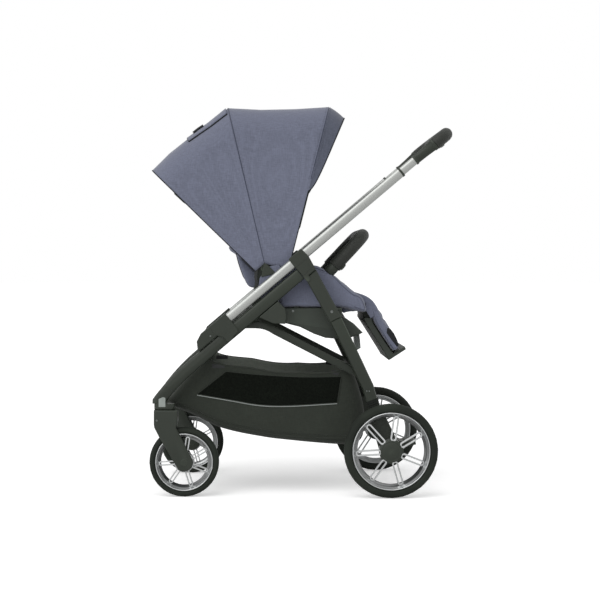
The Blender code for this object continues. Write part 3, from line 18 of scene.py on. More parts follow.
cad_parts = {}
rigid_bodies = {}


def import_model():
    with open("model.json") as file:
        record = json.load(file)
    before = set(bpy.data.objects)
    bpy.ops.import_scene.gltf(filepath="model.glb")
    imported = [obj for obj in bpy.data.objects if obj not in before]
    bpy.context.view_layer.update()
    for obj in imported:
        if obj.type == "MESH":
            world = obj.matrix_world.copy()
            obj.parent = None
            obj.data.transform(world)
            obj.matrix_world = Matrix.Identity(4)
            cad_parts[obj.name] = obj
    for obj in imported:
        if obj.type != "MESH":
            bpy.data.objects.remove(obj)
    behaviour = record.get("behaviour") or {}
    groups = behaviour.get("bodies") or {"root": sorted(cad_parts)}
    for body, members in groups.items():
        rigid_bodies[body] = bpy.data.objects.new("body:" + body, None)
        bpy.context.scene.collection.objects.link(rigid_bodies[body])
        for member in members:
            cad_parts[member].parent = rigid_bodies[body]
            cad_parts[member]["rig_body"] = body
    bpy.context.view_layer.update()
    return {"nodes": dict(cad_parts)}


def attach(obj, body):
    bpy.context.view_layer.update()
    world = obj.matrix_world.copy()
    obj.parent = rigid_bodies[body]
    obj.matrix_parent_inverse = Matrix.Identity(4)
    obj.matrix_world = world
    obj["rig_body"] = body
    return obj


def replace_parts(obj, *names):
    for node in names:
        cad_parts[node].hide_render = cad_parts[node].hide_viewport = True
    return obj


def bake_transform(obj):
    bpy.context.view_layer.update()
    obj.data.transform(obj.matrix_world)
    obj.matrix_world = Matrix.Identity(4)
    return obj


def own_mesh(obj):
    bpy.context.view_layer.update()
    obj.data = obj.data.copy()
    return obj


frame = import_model()
LOG = logging.getLogger("stroller")

Triple = tuple[float, float, float]
Colour = Triple
Point = tuple[float, float]
Piece = bpy.types.Object
Socket = bpy.types.NodeSocket
Mesh = bmesh.types.BMesh
Vert = bmesh.types.BMVert

ACROSS = Vector((0.0, 1.0, 0.0))
UP = Vector((0.0, 0.0, 1.0))
FORWARD = Vector((1.0, 0.0, 0.0))


class Side(Enum):
    """The two sides of the stroller, with the sign of their Y."""

    LEFT = -1
    RIGHT = 1

    @property
    def word(self) -> str:
        """The side's name as the frame's nodes end in it."""
        return self.name.lower()


class Slot(Enum):
    """The record's material slots."""

    PLASTIC = "dark_plastic"
    STEEL = "dark_steel"
    TUBE = "brushed_tube"
    CAST = "wheel_silver"
    TYRE = "tyre_rubber"
    BOOT = "boot_rubber"
    GRIP = "grip_leather"
    SEAT = "seat_fabric"
    DARK_CLOTH = "black_fabric"
    WEBBING = "webbing"


# Places on the frame

FRAME_Y = 0.235
SLOPE = radians(40.2)
COLLAR = (-0.0119, 0.668)
HUB = (-0.1065, 0.644)
BACK_ANGLE = radians(137.2)
REAR_AXLE = (0.2485, 0.132)
FRONT_AXLE = (-0.3318, 0.098)
INSIDE_CANOPY = Vector((-0.15, 0.0, 0.85))
INSIDE_BASKET = Vector((-0.08, 0.0, 0.30))


def clamped(value: float) -> float:
    """The value, held between 0 and 1."""
    return min(max(value, 0.0), 1.0)


def at(point: Point, y: float) -> Vector:
    """A point of the side plane, set at a distance across."""
    return Vector((point[0], y, point[1]))


def side_point(s: float, d: float) -> Point:
    """A point in the side frame.

    Args:
        s: Distance up the handle tube from the collar.
        d: Depth below the tube's axis.

    Returns:
        Its x and z.
    """
    return (COLLAR[0] + s * cos(SLOPE) + d * sin(SLOPE), COLLAR[1] + s * sin(SLOPE) - d * cos(SLOPE))


def back_point(e: float, f: float) -> Point:
    """A point on the backrest.

    Args:
        e: Distance up the backrest from its hub.
        f: Distance from the backrest's line towards the child.

    Returns:
        Its x and z.
    """
    return (
        HUB[0] + e * cos(BACK_ANGLE) + f * sin(BACK_ANGLE),
        HUB[1] + e * sin(BACK_ANGLE) - f * cos(BACK_ANGLE),
    )


# Finishes


def linear(colour: Colour) -> tuple[float, float, float, float]:
    """A display colour of 0 to 255 as the linear colour that a shader takes."""
    parts = [c / 255 for c in colour]
    return (*(c / 12.92 if c <= 0.04045 else ((c + 0.055) / 1.055) ** 2.4 for c in parts), 1.0)


def scaled(colour: Colour, factor: float) -> Colour:
    """The colour made lighter or darker by a factor."""
    return tuple(min(255.0, c * factor) for c in colour)


def add_node(tree: bpy.types.NodeTree, kind: str, inputs: dict[str | int, object],
             **settings: object) -> bpy.types.Node:
    """Adds a node to a tree.

    Args:
        tree: The tree.
        kind: The node's type.
        inputs: For each input, a socket to link or a value to set.
        **settings: The node's own properties.

    Returns:
        The node.
    """
    made = tree.nodes.new(kind)
    for key, value in settings.items():
        setattr(made, key, value)
    for key, value in inputs.items():
        if isinstance(value, Socket):
            tree.links.new(value, made.inputs[key])
        else:
            made.inputs[key].default_value = value
    return made


class Graph:
    """A material's nodes, with short calls for the ones that the finishes share."""

    def __init__(self, name: str, roughness: float, metallic: float = 0.0) -> None:
        """Starts a material.

        Args:
            name: The material's name.
            roughness: Roughness where nothing varies it.
            metallic: 1 for bare metal.
        """
        self.material = bpy.data.materials.new(name)
        self.material.use_nodes = True
        self.tree = self.material.node_tree
        self.shader = self.tree.nodes["Principled BSDF"]
        self.set("Roughness", roughness)
        self.set("Metallic", metallic)
        self.where = self.node("ShaderNodeTexCoord", {}).outputs["Object"]

    def set(self, socket: str, value: float | Sequence[float]) -> None:
        """Sets a constant on the shader's own socket."""
        self.shader.inputs[socket].default_value = value

    def node(self, kind: str, inputs: dict[str | int, object], **settings: object) -> bpy.types.Node:
        """Adds a node to the material."""
        return add_node(self.tree, kind, inputs, **settings)

    def placed(self, stretch: Triple, turn: Triple = (0.0, 0.0, 0.0)) -> Socket:
        """Object coordinates turned and stretched for a pattern."""
        turned = self.node("ShaderNodeMapping", {"Vector": self.where, "Rotation": turn})
        return self.node("ShaderNodeMapping", {"Vector": turned.outputs[0], "Scale": stretch}).outputs[0]

    def noise(self, where: Socket, scale: float, detail: float = 2.0) -> Socket:
        """A cloudy pattern from 0 to 1."""
        inputs = {"Vector": where, "Scale": scale, "Detail": detail}
        return self.node("ShaderNodeTexNoise", inputs).outputs[0]

    def cells(self, where: Socket, scale: float, feature: str = "F1") -> Socket:
        """The distance within a pattern of cells."""
        inputs = {"Vector": where, "Scale": scale}
        return self.node("ShaderNodeTexVoronoi", inputs, feature=feature).outputs["Distance"]

    def bands(self, where: Socket, axis: str, period: float) -> Socket:
        """Even bands across one axis, each a period wide."""
        inputs = {"Vector": where, "Scale": tau / (20 * period)}
        return self.node("ShaderNodeTexWave", inputs, bands_direction=axis).outputs["Fac"]

    def math(self, operation: str, first: Socket | float, second: Socket | float) -> Socket:
        """Two values combined."""
        return self.node("ShaderNodeMath", {0: first, 1: second}, operation=operation).outputs[0]

    def spread(self, value: Socket, low: float, high: float,
               start: float = 0.0, end: float = 1.0) -> Socket:
        """The value's run from start to end, mapped to low to high."""
        inputs = {"Value": value, "From Min": start, "From Max": end, "To Min": low, "To Max": high}
        return self.node("ShaderNodeMapRange", inputs).outputs[0]

    def tint(self, share: Socket, first: Socket | Colour, second: Socket | Colour) -> Socket:
        """Two colours mixed by a share. Each is a colour or a socket.

        Args:
            share: How much of the second there is.
            first: The colour at 0.
            second: The colour at 1.

        Returns:
            The mixed colour.
        """
        mixed = self.node("ShaderNodeMix", {"Factor": share}, data_type="RGBA")
        for socket, value in ((6, first), (7, second)):
            if isinstance(value, Socket):
                self.tree.links.new(value, mixed.inputs[socket])
            else:
                mixed.inputs[socket].default_value = linear(value)
        return mixed.outputs[2]

    def use(self, socket: str, value: Socket) -> None:
        """Links a value to the shader."""
        self.tree.links.new(value, self.shader.inputs[socket])

    def bump(self, height: Socket, distance: float, strength: float = 1.0) -> None:
        """Raises the surface by a pattern, over any bump already there.

        Args:
            height: The pattern.
            distance: How high it stands.
            strength: How strongly it tells.
        """
        inputs = {"Height": height, "Distance": distance, "Strength": strength}
        links = self.shader.inputs["Normal"].links
        if links:
            inputs["Normal"] = links[0].from_socket
        self.use("Normal", self.node("ShaderNodeBump", inputs).outputs[0])

    def edges(self) -> Socket:
        """1 on convex edges, 0 elsewhere: worn edges on moulded plastic, worn edges and a painted highlight
        on powder coat.
        """
        point = self.node("ShaderNodeNewGeometry", {}).outputs["Pointiness"]
        return self.spread(point, 0.0, 1.0, 0.53, 0.66)


@dataclass(frozen=True)
class Finish:
    """What every finish has: a name and a colour."""

    name: str
    colour: Colour

    def build(self) -> bpy.types.Material:
        """The finish's material, made once and then reused."""
        found = bpy.data.materials.get(self.name)
        return found if found else self.make()

    def make(self) -> bpy.types.Material:
        """The finish's nodes. Each kind of finish makes its own."""
        raise NotImplementedError


@dataclass(frozen=True)
class MouldedPlastic(Finish):
    """Spark-eroded nylon moulding with polished edges."""

    roughness: float = 0.46
    grain: float = 0.00006

    def make(self) -> bpy.types.Material:
        """Fine moulded grain, faint flow clouds and lighter rubbed edges.

        Returns:
            The material.
        """
        graph = Graph(self.name, self.roughness)
        clouds = graph.noise(graph.where, 9.0, 3.0)
        body = graph.tint(clouds, scaled(self.colour, 0.90), scaled(self.colour, 1.08))
        worn = graph.math("MULTIPLY", graph.edges(), graph.spread(graph.noise(graph.where, 60.0), 0.2, 0.8))
        graph.use("Base Color", graph.tint(worn, body, scaled(self.colour, 1.55)))
        graph.use("Roughness", graph.spread(clouds, self.roughness - 0.07, self.roughness + 0.09))
        graph.bump(graph.noise(graph.where, 1500.0, 1.0), self.grain)
        graph.set("Specular IOR Level", 0.30)
        return graph.material


@dataclass(frozen=True)
class PowderCoat(Finish):
    """Baked powder paint over steel or aluminium."""

    def make(self) -> bpy.types.Material:
        """Orange-peel ripple, a hard satin skin, and convex edges made lighter: partly bare metal worn
        through, partly a painted highlight.

        Returns:
            The material.
        """
        graph = Graph(self.name, 0.38)
        clouds = graph.noise(graph.where, 14.0, 3.0)
        body = graph.tint(clouds, scaled(self.colour, 0.92), scaled(self.colour, 1.07))
        # Convex edges lighter: partly wear, partly a painted highlight.
        graph.use("Base Color", graph.tint(graph.edges(), body, scaled(self.colour, 1.7)))
        graph.use("Roughness", graph.spread(clouds, 0.32, 0.46))
        graph.bump(graph.noise(graph.where, 420.0, 2.0), 0.00009)
        graph.set("Specular IOR Level", 0.25)
        graph.set("Coat Weight", 0.05)
        graph.set("Coat Roughness", 0.25)
        return graph.material


@dataclass(frozen=True)
class BrushedTube(Finish):
    """Anodised aluminium tube, brushed along its length."""

    slope: float = SLOPE

    def make(self) -> bpy.types.Material:
        """Long fine brush lines that run up the tube, with soft clouding.

        Returns:
            The material.
        """
        graph = Graph(self.name, 0.40, 0.88)
        lines = graph.noise(graph.placed((4.0, 900.0, 900.0), (0.0, self.slope, 0.0)), 1.0, 3.0)
        clouds = graph.noise(graph.placed((3.0, 40.0, 40.0), (0.0, self.slope, 0.0)), 1.0, 2.0)
        fine = graph.tint(lines, scaled(self.colour, 0.90), scaled(self.colour, 1.06))
        graph.use("Base Color", graph.tint(graph.spread(clouds, 0.0, 0.25), fine, scaled(self.colour, 0.86)))
        graph.use("Roughness", graph.spread(lines, 0.34, 0.48))
        graph.bump(lines, 0.00003)
        return graph.material


@dataclass(frozen=True)
class CastRim(Finish):
    """Silver lacquer over a cast wheel."""

    def make(self) -> bpy.types.Material:
        """Metal flake under a clear coat, with duller clouds.

        Returns:
            The material.
        """
        graph = Graph(self.name, 0.30, 0.85)
        flake = graph.cells(graph.where, 1400.0)
        clouds = graph.noise(graph.where, 22.0, 3.0)
        fine = graph.tint(flake, scaled(self.colour, 1.06), scaled(self.colour, 0.93))
        graph.use("Base Color", graph.tint(graph.spread(clouds, 0.0, 0.3), fine, scaled(self.colour, 0.88)))
        graph.use("Roughness", graph.spread(clouds, 0.24, 0.40))
        graph.bump(flake, 0.00002)
        graph.set("Coat Weight", 0.3)
        graph.set("Coat Roughness", 0.18)
        return graph.material


@dataclass(frozen=True)
class Rubber(Finish):
    """Foamed or moulded rubber, matt and a little dusty."""

    dust: float = 0.25

    def make(self) -> bpy.types.Material:
        """Pitted matt skin with pale dust in broad patches.

        Returns:
            The material.
        """
        graph = Graph(self.name, 0.78)
        clouds = graph.noise(graph.where, 30.0, 4.0)
        body = graph.tint(clouds, scaled(self.colour, 0.85), scaled(self.colour, 1.12))
        dusty = graph.spread(graph.noise(graph.where, 7.0, 5.0), 0.0, self.dust, 0.45, 0.75)
        graph.use("Base Color", graph.tint(dusty, body, scaled(self.colour, 2.0)))
        graph.use("Roughness", graph.spread(clouds, 0.68, 0.88))
        graph.bump(graph.noise(graph.where, 700.0, 3.0), 0.0001)
        graph.set("Specular IOR Level", 0.18)
        return graph.material


@dataclass(frozen=True)
class Leatherette(Finish):
    """Grained coated fabric on the grip and the bumper bar."""

    def make(self) -> bpy.types.Material:
        """Pebbled grain with darker creases and a waxy skin.

        Returns:
            The material.
        """
        graph = Graph(self.name, 0.5)
        pebbles = graph.cells(graph.where, 520.0, "DISTANCE_TO_EDGE")
        creases = graph.spread(pebbles, 0.0, 1.0, 0.0, 0.18)
        clouds = graph.noise(graph.where, 26.0, 3.0)
        body = graph.tint(clouds, scaled(self.colour, 0.88), scaled(self.colour, 1.14))
        graph.use("Base Color", graph.tint(creases, scaled(self.colour, 0.80), body))
        graph.use("Roughness", graph.spread(creases, 0.66, 0.50))
        graph.bump(creases, 0.00008)
        graph.bump(graph.noise(graph.where, 90.0, 2.0), 0.0001, 0.5)
        graph.set("Specular IOR Level", 0.35)
        return graph.material


@dataclass(frozen=True)
class WovenCloth(Finish):
    """Plain-woven polyester, melange or piece-dyed."""

    thread: float = 0.0016
    melange: float = 0.16
    sheen: float = 0.25

    def make(self) -> bpy.types.Material:
        """Crossed threads of uneven shade, slubs, soft rubbing and a fibre sheen.

        Returns:
            The material.
        """
        graph = Graph(self.name, 0.88)
        weft = graph.bands(graph.where, "X", self.thread)
        warp = graph.bands(graph.where, "Z", self.thread)
        depth = graph.bands(graph.where, "Y", self.thread)
        weave = graph.math("MAXIMUM", graph.math("MAXIMUM", weft, warp), depth)
        slubs = graph.noise(graph.placed((420.0, 420.0, 70.0)), 1.0, 2.0)
        cross = graph.noise(graph.placed((70.0, 420.0, 420.0)), 1.0, 2.0)
        shade = graph.math("MULTIPLY", graph.math("ADD", slubs, cross), 0.5)
        low = scaled(self.colour, 1.0 - self.melange)
        high = scaled(self.colour, 1.0 + self.melange)
        body = graph.tint(graph.spread(shade, 0.0, 1.0, 0.3, 0.7), low, high)
        clouds = graph.spread(graph.noise(graph.where, 6.0, 4.0), 0.0, 0.35, 0.35, 0.7)
        body = graph.tint(clouds, body, scaled(self.colour, 1.10))
        graph.use("Base Color", graph.tint(graph.spread(weave, 0.30, 0.0), body, scaled(self.colour, 0.70)))
        graph.use("Roughness", graph.spread(shade, 0.80, 0.95))
        graph.bump(weave, 0.00018)
        graph.bump(graph.noise(graph.where, 38.0, 3.0), 0.0012, 0.5)
        graph.set("Sheen Weight", self.sheen)
        graph.set("Sheen Roughness", 0.5)
        graph.set("Specular IOR Level", 0.2)
        return graph.material


@dataclass(frozen=True)
class MeshNet(Finish):
    """Knitted net with small round holes, made as one opaque sheet."""

    def make(self) -> bpy.types.Material:
        """Dark dimples in rows, ringed by a lighter knit: the dimples are painted shade, standing for the
        dark seen through the holes.

        Returns:
            The material.
        """
        graph = Graph(self.name, 0.8)
        holes = graph.cells(graph.placed((1.0, 1.0, 1.3)), 330.0)
        knit = graph.spread(holes, 0.0, 1.0, 0.32, 0.55)
        clouds = graph.noise(graph.where, 12.0, 3.0)
        graph.use("Base Color", graph.tint(knit, scaled(self.colour, 0.55), scaled(self.colour, 1.15)))
        graph.use("Roughness", graph.spread(clouds, 0.7, 0.9))
        graph.bump(knit, 0.0006)
        graph.set("Specular IOR Level", 0.05)
        return graph.material


@dataclass(frozen=True)
class Webbing(Finish):
    """Ribbed strap webbing."""

    def make(self) -> bpy.types.Material:
        """Fine ribs across the strap with a chevron of lighter yarn.

        Returns:
            The material.
        """
        graph = Graph(self.name, 0.72)
        ribs = graph.bands(graph.where, "DIAGONAL", 0.0022)
        yarn = graph.noise(graph.placed((300.0, 900.0, 300.0)), 1.0, 2.0)
        body = graph.tint(yarn, scaled(self.colour, 0.85), scaled(self.colour, 1.25))
        graph.use("Base Color", graph.tint(graph.spread(ribs, 0.35, 0.0), body, scaled(self.colour, 0.6)))
        graph.use("Roughness", graph.spread(yarn, 0.62, 0.82))
        graph.bump(ribs, 0.0002)
        graph.set("Sheen Weight", 0.1)
        return graph.material


FRAME_PLASTIC = MouldedPlastic("frame_plastic", (45, 50, 43))
SHELL_PLASTIC = MouldedPlastic("seat_shell_plastic", (51, 56, 50), roughness=0.52)
TAB_PLASTIC = MouldedPlastic("light_grey_plastic", (132, 138, 134), roughness=0.4)
DARK_STEEL = PowderCoat("powder_coated_steel", (40, 45, 38))
LEG_COAT = PowderCoat("powder_coated_leg", (42, 47, 40))
SILVER_TUBE = BrushedTube("brushed_silver_tube", (176, 178, 175))
SILVER_RIM = CastRim("silver_cast_rim", (196, 198, 198))
# A darker copy of the cast silver for the rim's well: partly a two-tone finish, partly painted shade.
SILVER_BARREL_PAINTED_SHADE = CastRim("silver_cast_barrel", (128, 130, 130))
SCREW_STEEL = CastRim("screw_steel", (120, 124, 122))
TYRE = Rubber("tyre_rubber_matt", (34, 38, 33))
BOOT = Rubber("boot_rubber_matt", (30, 33, 30), dust=0.1)
HAND_LEATHER = Leatherette("grained_leatherette", (42, 45, 40))
BLUE_CLOTH = WovenCloth("blue_grey_cloth", (106, 110, 127), melange=0.10)
# A darker copy of the blue cloth: painted shade on the visor, which tilts away from the light.
BLUE_VISOR_PAINTED_SHADE = WovenCloth("blue_grey_visor", (86, 90, 104), melange=0.10)
BLUE_LINING = WovenCloth("blue_grey_lining", (84, 88, 104), thread=0.0012, melange=0.08)
DARK_CLOTH = WovenCloth("dark_basket_cloth", (47, 51, 45), thread=0.0022, melange=0.12, sheen=0.1)
# The basket's lining: partly its own grey, lightened further as painted light on the inner walls, which lie
# in shade.
BASKET_LINING_PAINTED_LIGHT = WovenCloth("basket_lining", (122, 127, 119), thread=0.0022, melange=0.10, sheen=0.1)
DARK_BINDING = WovenCloth("dark_binding_tape", (34, 36, 38), thread=0.0012, melange=0.08, sheen=0.05)
SEAM_CLOTH = WovenCloth("blue_grey_seam", (62, 66, 82), thread=0.0012, melange=0.06)
PALE_PIPING = WovenCloth("pale_grey_piping", (148, 153, 150), thread=0.0012, melange=0.06)
BLUE_THREAD = WovenCloth("blue_grey_thread", (84, 89, 108), thread=0.0008, melange=0.05)
DARK_THREAD = WovenCloth("dark_thread", (34, 37, 34), thread=0.0008, melange=0.05)
# Near-black net: partly its own dark colour, partly painted shade of the hollow behind it.
DARK_NET_PAINTED_SHADE = MeshNet("dark_net", (17, 20, 16))
STRAP = Webbing("black_webbing", (32, 34, 34))


# Shaping


def object_of(name: str, bm: Mesh, finish: Finish, angle: float = 40.0,
              recalculate: bool = True) -> Piece:
    """An object at the origin that holds the bmesh.

    Args:
        name: The piece's name.
        bm: Its mesh, which is freed.
        finish: What it is made of.
        angle: Edges sharper than this many degrees stay sharp.
        recalculate: Whether to turn all faces outwards.

    Returns:
        The object.
    """
    bmesh.ops.remove_doubles(bm, verts=bm.verts, dist=1e-6)
    if recalculate:
        bmesh.ops.recalc_face_normals(bm, faces=bm.faces)
    mesh = bpy.data.meshes.new(name)
    bm.to_mesh(mesh)
    bm.free()
    mesh.shade_smooth()
    mesh.set_sharp_from_angle(angle=radians(angle))
    made = bpy.data.objects.new(name, mesh)
    bpy.context.scene.collection.objects.link(made)
    mesh.materials.append(finish.build())
    return made


def publish(piece: Piece, body: str, slot: Slot, *nodes: str) -> Piece:
    """Hands a finished piece to the frame.

    Args:
        piece: The piece, in place.
        body: The body it moves with.
        slot: Not used.
        *nodes: The frame's nodes that it replaces.

    Returns:
        The piece.
    """
    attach(piece, body)
    if nodes:
        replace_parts(piece, *nodes)
    LOG.info("%s rides on %s, %d faces", piece.name, body, len(piece.data.polygons))
    return piece


def publish_between(piece: Piece, slot: Slot, bodies: tuple[str, str], start: Sequence[float],
                    end: Sequence[float], *nodes: str) -> Piece:
    """Sets a piece of cloth that lies between two bodies in place, where it stays; it follows neither body.

    Args:
        piece: The piece, with its mesh final.
        slot: Not used.
        bodies: The two bodies that it lies between, named only in the log.
        start: Not used.
        end: Not used.
        *nodes: The frame's nodes that it replaces.

    Returns:
        The piece.
    """
    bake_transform(piece)
    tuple(start)
    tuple(end)
    if nodes:
        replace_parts(piece, *nodes)
    LOG.info("%s joins %s and %s, %d faces", piece.name, *bodies, len(piece.data.polygons))
    return piece


def eased(piece: Piece, width: float, segments: int = 2, angle: float = 35.0) -> Piece:
    """Adds rounded edges to a moulded piece.

    Args:
        piece: The piece.
        width: Width of the rounding.
        segments: Steps across it.
        angle: Edges sharper than this many degrees are rounded.

    Returns:
        The piece, with the rounding as a modifier.
    """
    bevel = piece.modifiers.new("eased edges", "BEVEL")
    bevel.width = width
    bevel.segments = segments
    bevel.limit_method = "ANGLE"
    bevel.angle_limit = radians(angle)
    bevel.use_clamp_overlap = True
    bevel.harden_normals = True
    return piece


def baked(piece: Piece) -> Piece:
    """The piece with its modifiers turned into mesh.

    Args:
        piece: The piece.

    Returns:
        The same piece.
    """
    bpy.context.view_layer.update()
    graph = bpy.context.evaluated_depsgraph_get()
    mesh = bpy.data.meshes.new_from_object(piece.evaluated_get(graph))
    piece.modifiers.clear()
    piece.data = mesh
    return piece


def frame_copy(node: str) -> Mesh:
    """A copy of a frame node's mesh, with its loose triangles joined and its flat faces whole.

    Args:
        node: The frame's node.

    Returns:
        The copy.
    """
    bm = bmesh.new()
    bm.from_mesh(frame["nodes"][node].data)
    bmesh.ops.remove_doubles(bm, verts=bm.verts, dist=2e-5)
    bmesh.ops.dissolve_limit(bm, angle_limit=radians(0.6), verts=bm.verts, edges=bm.edges)
    return bm


def body_of(node: str) -> str:
    """The body that a frame node belongs to."""
    return frame["nodes"][node]["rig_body"]


def refined(node: str, finish: Finish, slot: Slot, ease: float = 0.0007) -> Piece:
    """A finished moulding over a frame node: the same shape, with eased edges and its own finish.

    Args:
        node: The frame's node.
        finish: What it is made of.
        slot: The record's slot.
        ease: Width of the eased edges.

    Returns:
        The piece.
    """
    piece = object_of(f"{node}_finished", frame_copy(node), finish, angle=36.0, recalculate=False)
    if ease:
        eased(piece, ease)
    return publish(piece, body_of(node), slot, node)


def ring_at(verts: Sequence[Vert], centre: Vector, first: Vector, second: Vector,
            size: Point, power: float) -> None:
    """Sets a ring of vertices to a rounded section.

    Args:
        verts: The ring, in order.
        centre: Middle of the section.
        first: Direction of the depth.
        second: Direction of the width.
        size: Depth and width.
        power: 2 for an oval, more for a squarer section.
    """
    for i, vert in enumerate(verts):
        a = tau * i / len(verts)
        u = abs(cos(a)) ** (2 / power) * (1 if cos(a) > 0 else -1)
        v = abs(sin(a)) ** (2 / power) * (1 if sin(a) > 0 else -1)
        vert.co = centre + first * (u * size[0] / 2) + second * (v * size[1] / 2)


def extruded_ring(bm: Mesh, ring: Sequence[Vert]) -> list[Vert]:
    """Extrudes a ring of edges.

    Args:
        bm: The mesh.
        ring: The ring, in order.

    Returns:
        The new ring, in the same order.
    """
    count = len(ring)
    edges = [bm.edges.get((ring[k], ring[(k + 1) % count])) for k in range(count)]
    grown = bmesh.ops.extrude_edge_only(bm, edges=edges)["geom"]
    new = {v for v in grown if isinstance(v, Vert)}
    return [next(e.other_vert(v) for e in v.link_edges if e.other_vert(v) in new) for v in ring]


def swept(path: Sequence[Vector], normal: Vector, sizes: Sequence[Point], count: int = 24,
          power: float = 2.0) -> Mesh:
    """A bar along a path: a disc extruded from point to point.

    Args:
        path: Points of its centreline.
        normal: Direction of the width at every point.
        sizes: Depth and width at each point.
        count: Points round the section.
        power: 2 for an oval section, more for a squarer one.

    Returns:
        The closed bar.
    """
    bm = bmesh.new()
    ring = bmesh.ops.create_circle(bm, cap_ends=False, segments=count, radius=1.0)["verts"]
    first_ring = list(ring)
    for i, point in enumerate(path):
        before = path[max(i - 1, 0)]
        after = path[min(i + 1, len(path) - 1)]
        tangent = (after - before).normalized()
        first = normal.cross(tangent).normalized()
        bend = 1.0
        if 0 < i < len(path) - 1:
            bend = 1 / max((point - before).normalized().dot(tangent), 0.5)
        if i:
            ring = extruded_ring(bm, ring)
        ring_at(ring, point, first, normal.normalized(), (sizes[i][0] * bend, sizes[i][1]), power)
    bm.faces.new(first_ring)
    bm.faces.new(ring)
    return bm


def extruded(bm: Mesh, faces: Sequence[bmesh.types.BMFace], way: Vector) -> None:
    """Extrudes faces.

    Args:
        bm: The mesh.
        faces: Its faces.
        way: How far and which way they go.
    """
    grown = bmesh.ops.extrude_face_region(bm, geom=faces)["geom"]
    moved = [v for v in grown if isinstance(v, Vert)]
    bmesh.ops.translate(bm, verts=moved, vec=way)


def prism(outline: Sequence[Point], y: float, thickness: float) -> Mesh:
    """A side outline given a thickness across, centred on y.

    Args:
        outline: Its corners.
        y: Its middle across.
        thickness: Its size across.

    Returns:
        The closed solid.
    """
    bm = bmesh.new()
    face = bm.faces.new([bm.verts.new(at(p, y - thickness / 2)) for p in outline])
    extruded(bm, [face], ACROSS * thickness)
    return bm


def turned(profile: Sequence[Point], centre: Vector, steps: int = 96) -> Mesh:
    """A closed outline of (radius, y) points, spun round an axis along Y.

    Args:
        profile: The outline.
        centre: Middle of the axis.
        steps: Steps round it.

    Returns:
        The closed solid.
    """
    bm = bmesh.new()
    ring = [bm.verts.new((r, y, 0.0)) for r, y in profile]
    edges = [bm.edges.new((ring[i], ring[(i + 1) % len(ring)])) for i in range(len(ring))]
    bmesh.ops.spin(bm, geom=ring + edges, cent=(0, 0, 0), axis=ACROSS, dvec=(0, 0, 0), angle=tau,
                   steps=steps, use_merge=True)
    bmesh.ops.remove_doubles(bm, verts=bm.verts, dist=1e-6)
    bmesh.ops.translate(bm, verts=bm.verts, vec=centre)
    return bm


def capsule(start: Point, end: Point, radius: float, steps: int = 8) -> list[Point]:
    """Outline of a bar with round ends between two points of the side plane.

    Args:
        start: Middle of one end.
        end: Middle of the other.
        radius: Radius of both.
        steps: Steps round each end.

    Returns:
        The outline's points.
    """
    run = Vector(end) - Vector(start)
    facing = run.angle_signed(Vector((1.0, 0.0)))
    points = []
    for centre, turn in ((end, -pi / 2), (start, pi / 2)):
        for i in range(steps + 1):
            a = facing + turn + pi * i / steps
            points.append((centre[0] + radius * cos(a), centre[1] + radius * sin(a)))
    return points


def disc(name: str, centre: Vector, radius: float, height: float, way: Vector,
         finish: Finish) -> Piece:
    """A low round button with a sloping rim, such as a screw's head.

    Args:
        name: The piece's name.
        centre: Middle of its foot.
        radius: Radius of its foot.
        height: Its height.
        way: The direction that it stands up in.
        finish: What it is made of.

    Returns:
        The object.
    """
    bm = bmesh.new()
    bmesh.ops.create_cone(bm, cap_ends=True, segments=28, radius1=radius, radius2=radius * 0.86,
                          depth=height)
    turn = UP.rotation_difference(way).to_matrix().to_4x4()
    bmesh.ops.transform(bm, matrix=Matrix.Translation(centre + way * height / 2) @ turn, verts=bm.verts)
    return object_of(name, bm, finish)


def cord(name: str, lines: Sequence[Sequence[Vector]], radius: float, finish: Finish,
         closed: bool = False, round_steps: int = 3) -> Piece:
    """Piping or thread along lines, as one mesh.

    Args:
        name: The piece's name.
        lines: The points of each line.
        radius: The cord's radius.
        finish: What it is made of.
        closed: Whether each line runs back to its start.
        round_steps: How round its section is.

    Returns:
        The object.
    """
    curve = bpy.data.curves.new(name, "CURVE")
    curve.dimensions = "3D"
    curve.bevel_depth = radius
    curve.bevel_resolution = round_steps
    curve.use_fill_caps = True
    for line in lines:
        spline = curve.splines.new("POLY")
        spline.points.add(len(line) - 1)
        for point, place in zip(spline.points, line):
            point.co = (*place, 1.0)
        spline.use_cyclic_u = closed
    made = bpy.data.objects.new(f"{name}_curve", curve)
    bpy.context.scene.collection.objects.link(made)
    bpy.context.view_layer.update()
    mesh = bpy.data.meshes.new_from_object(made)
    bpy.data.objects.remove(made)
    mesh.name = name
    mesh.materials.clear()
    mesh.materials.append(finish.build())
    mesh.shade_smooth()
    piece = bpy.data.objects.new(name, mesh)
    bpy.context.scene.collection.objects.link(piece)
    return piece


def stitches(line: Sequence[Vector], length: float = 0.0032, gap: float = 0.0016) -> list[list[Vector]]:
    """Short runs of thread along a line.

    Args:
        line: The line's points, close together.
        length: Length of a stitch.
        gap: Space between two.

    Returns:
        Both ends of each stitch.
    """
    runs = []
    travelled = 0.0
    start = line[0]
    for before, after in zip(line, line[1:]):
        step = (after - before).length
        travelled += step
        if travelled >= length:
            runs.append([start, after])
            start = after
            travelled = -gap
        elif travelled <= 0:
            start = after
    return runs


def even(line: Sequence[Vector], spacing: float) -> list[Vector]:
    """The line's points again, set an even distance apart.

    Args:
        line: The line's points.
        spacing: The distance.

    Returns:
        The new points.
    """
    points = [line[0]]
    left = spacing
    for before, after in zip(line, line[1:]):
        length = (after - before).length
        done = 0.0
        while length - done >= left:
            done += left
            points.append(before.lerp(after, done / length))
            left = spacing
        left -= length - done
    return points


def look_outwards(bm: Mesh, inside: Vector) -> None:
    """Turns a sheet's faces to look away from a point.

    Args:
        bm: The sheet, whose faces all look one way.
        inside: A point inside its curve.
    """
    facing = sum(f.normal.dot(f.calc_center_median() - inside) * f.calc_area() for f in bm.faces)
    if facing < 0:
        bmesh.ops.reverse_faces(bm, faces=bm.faces)


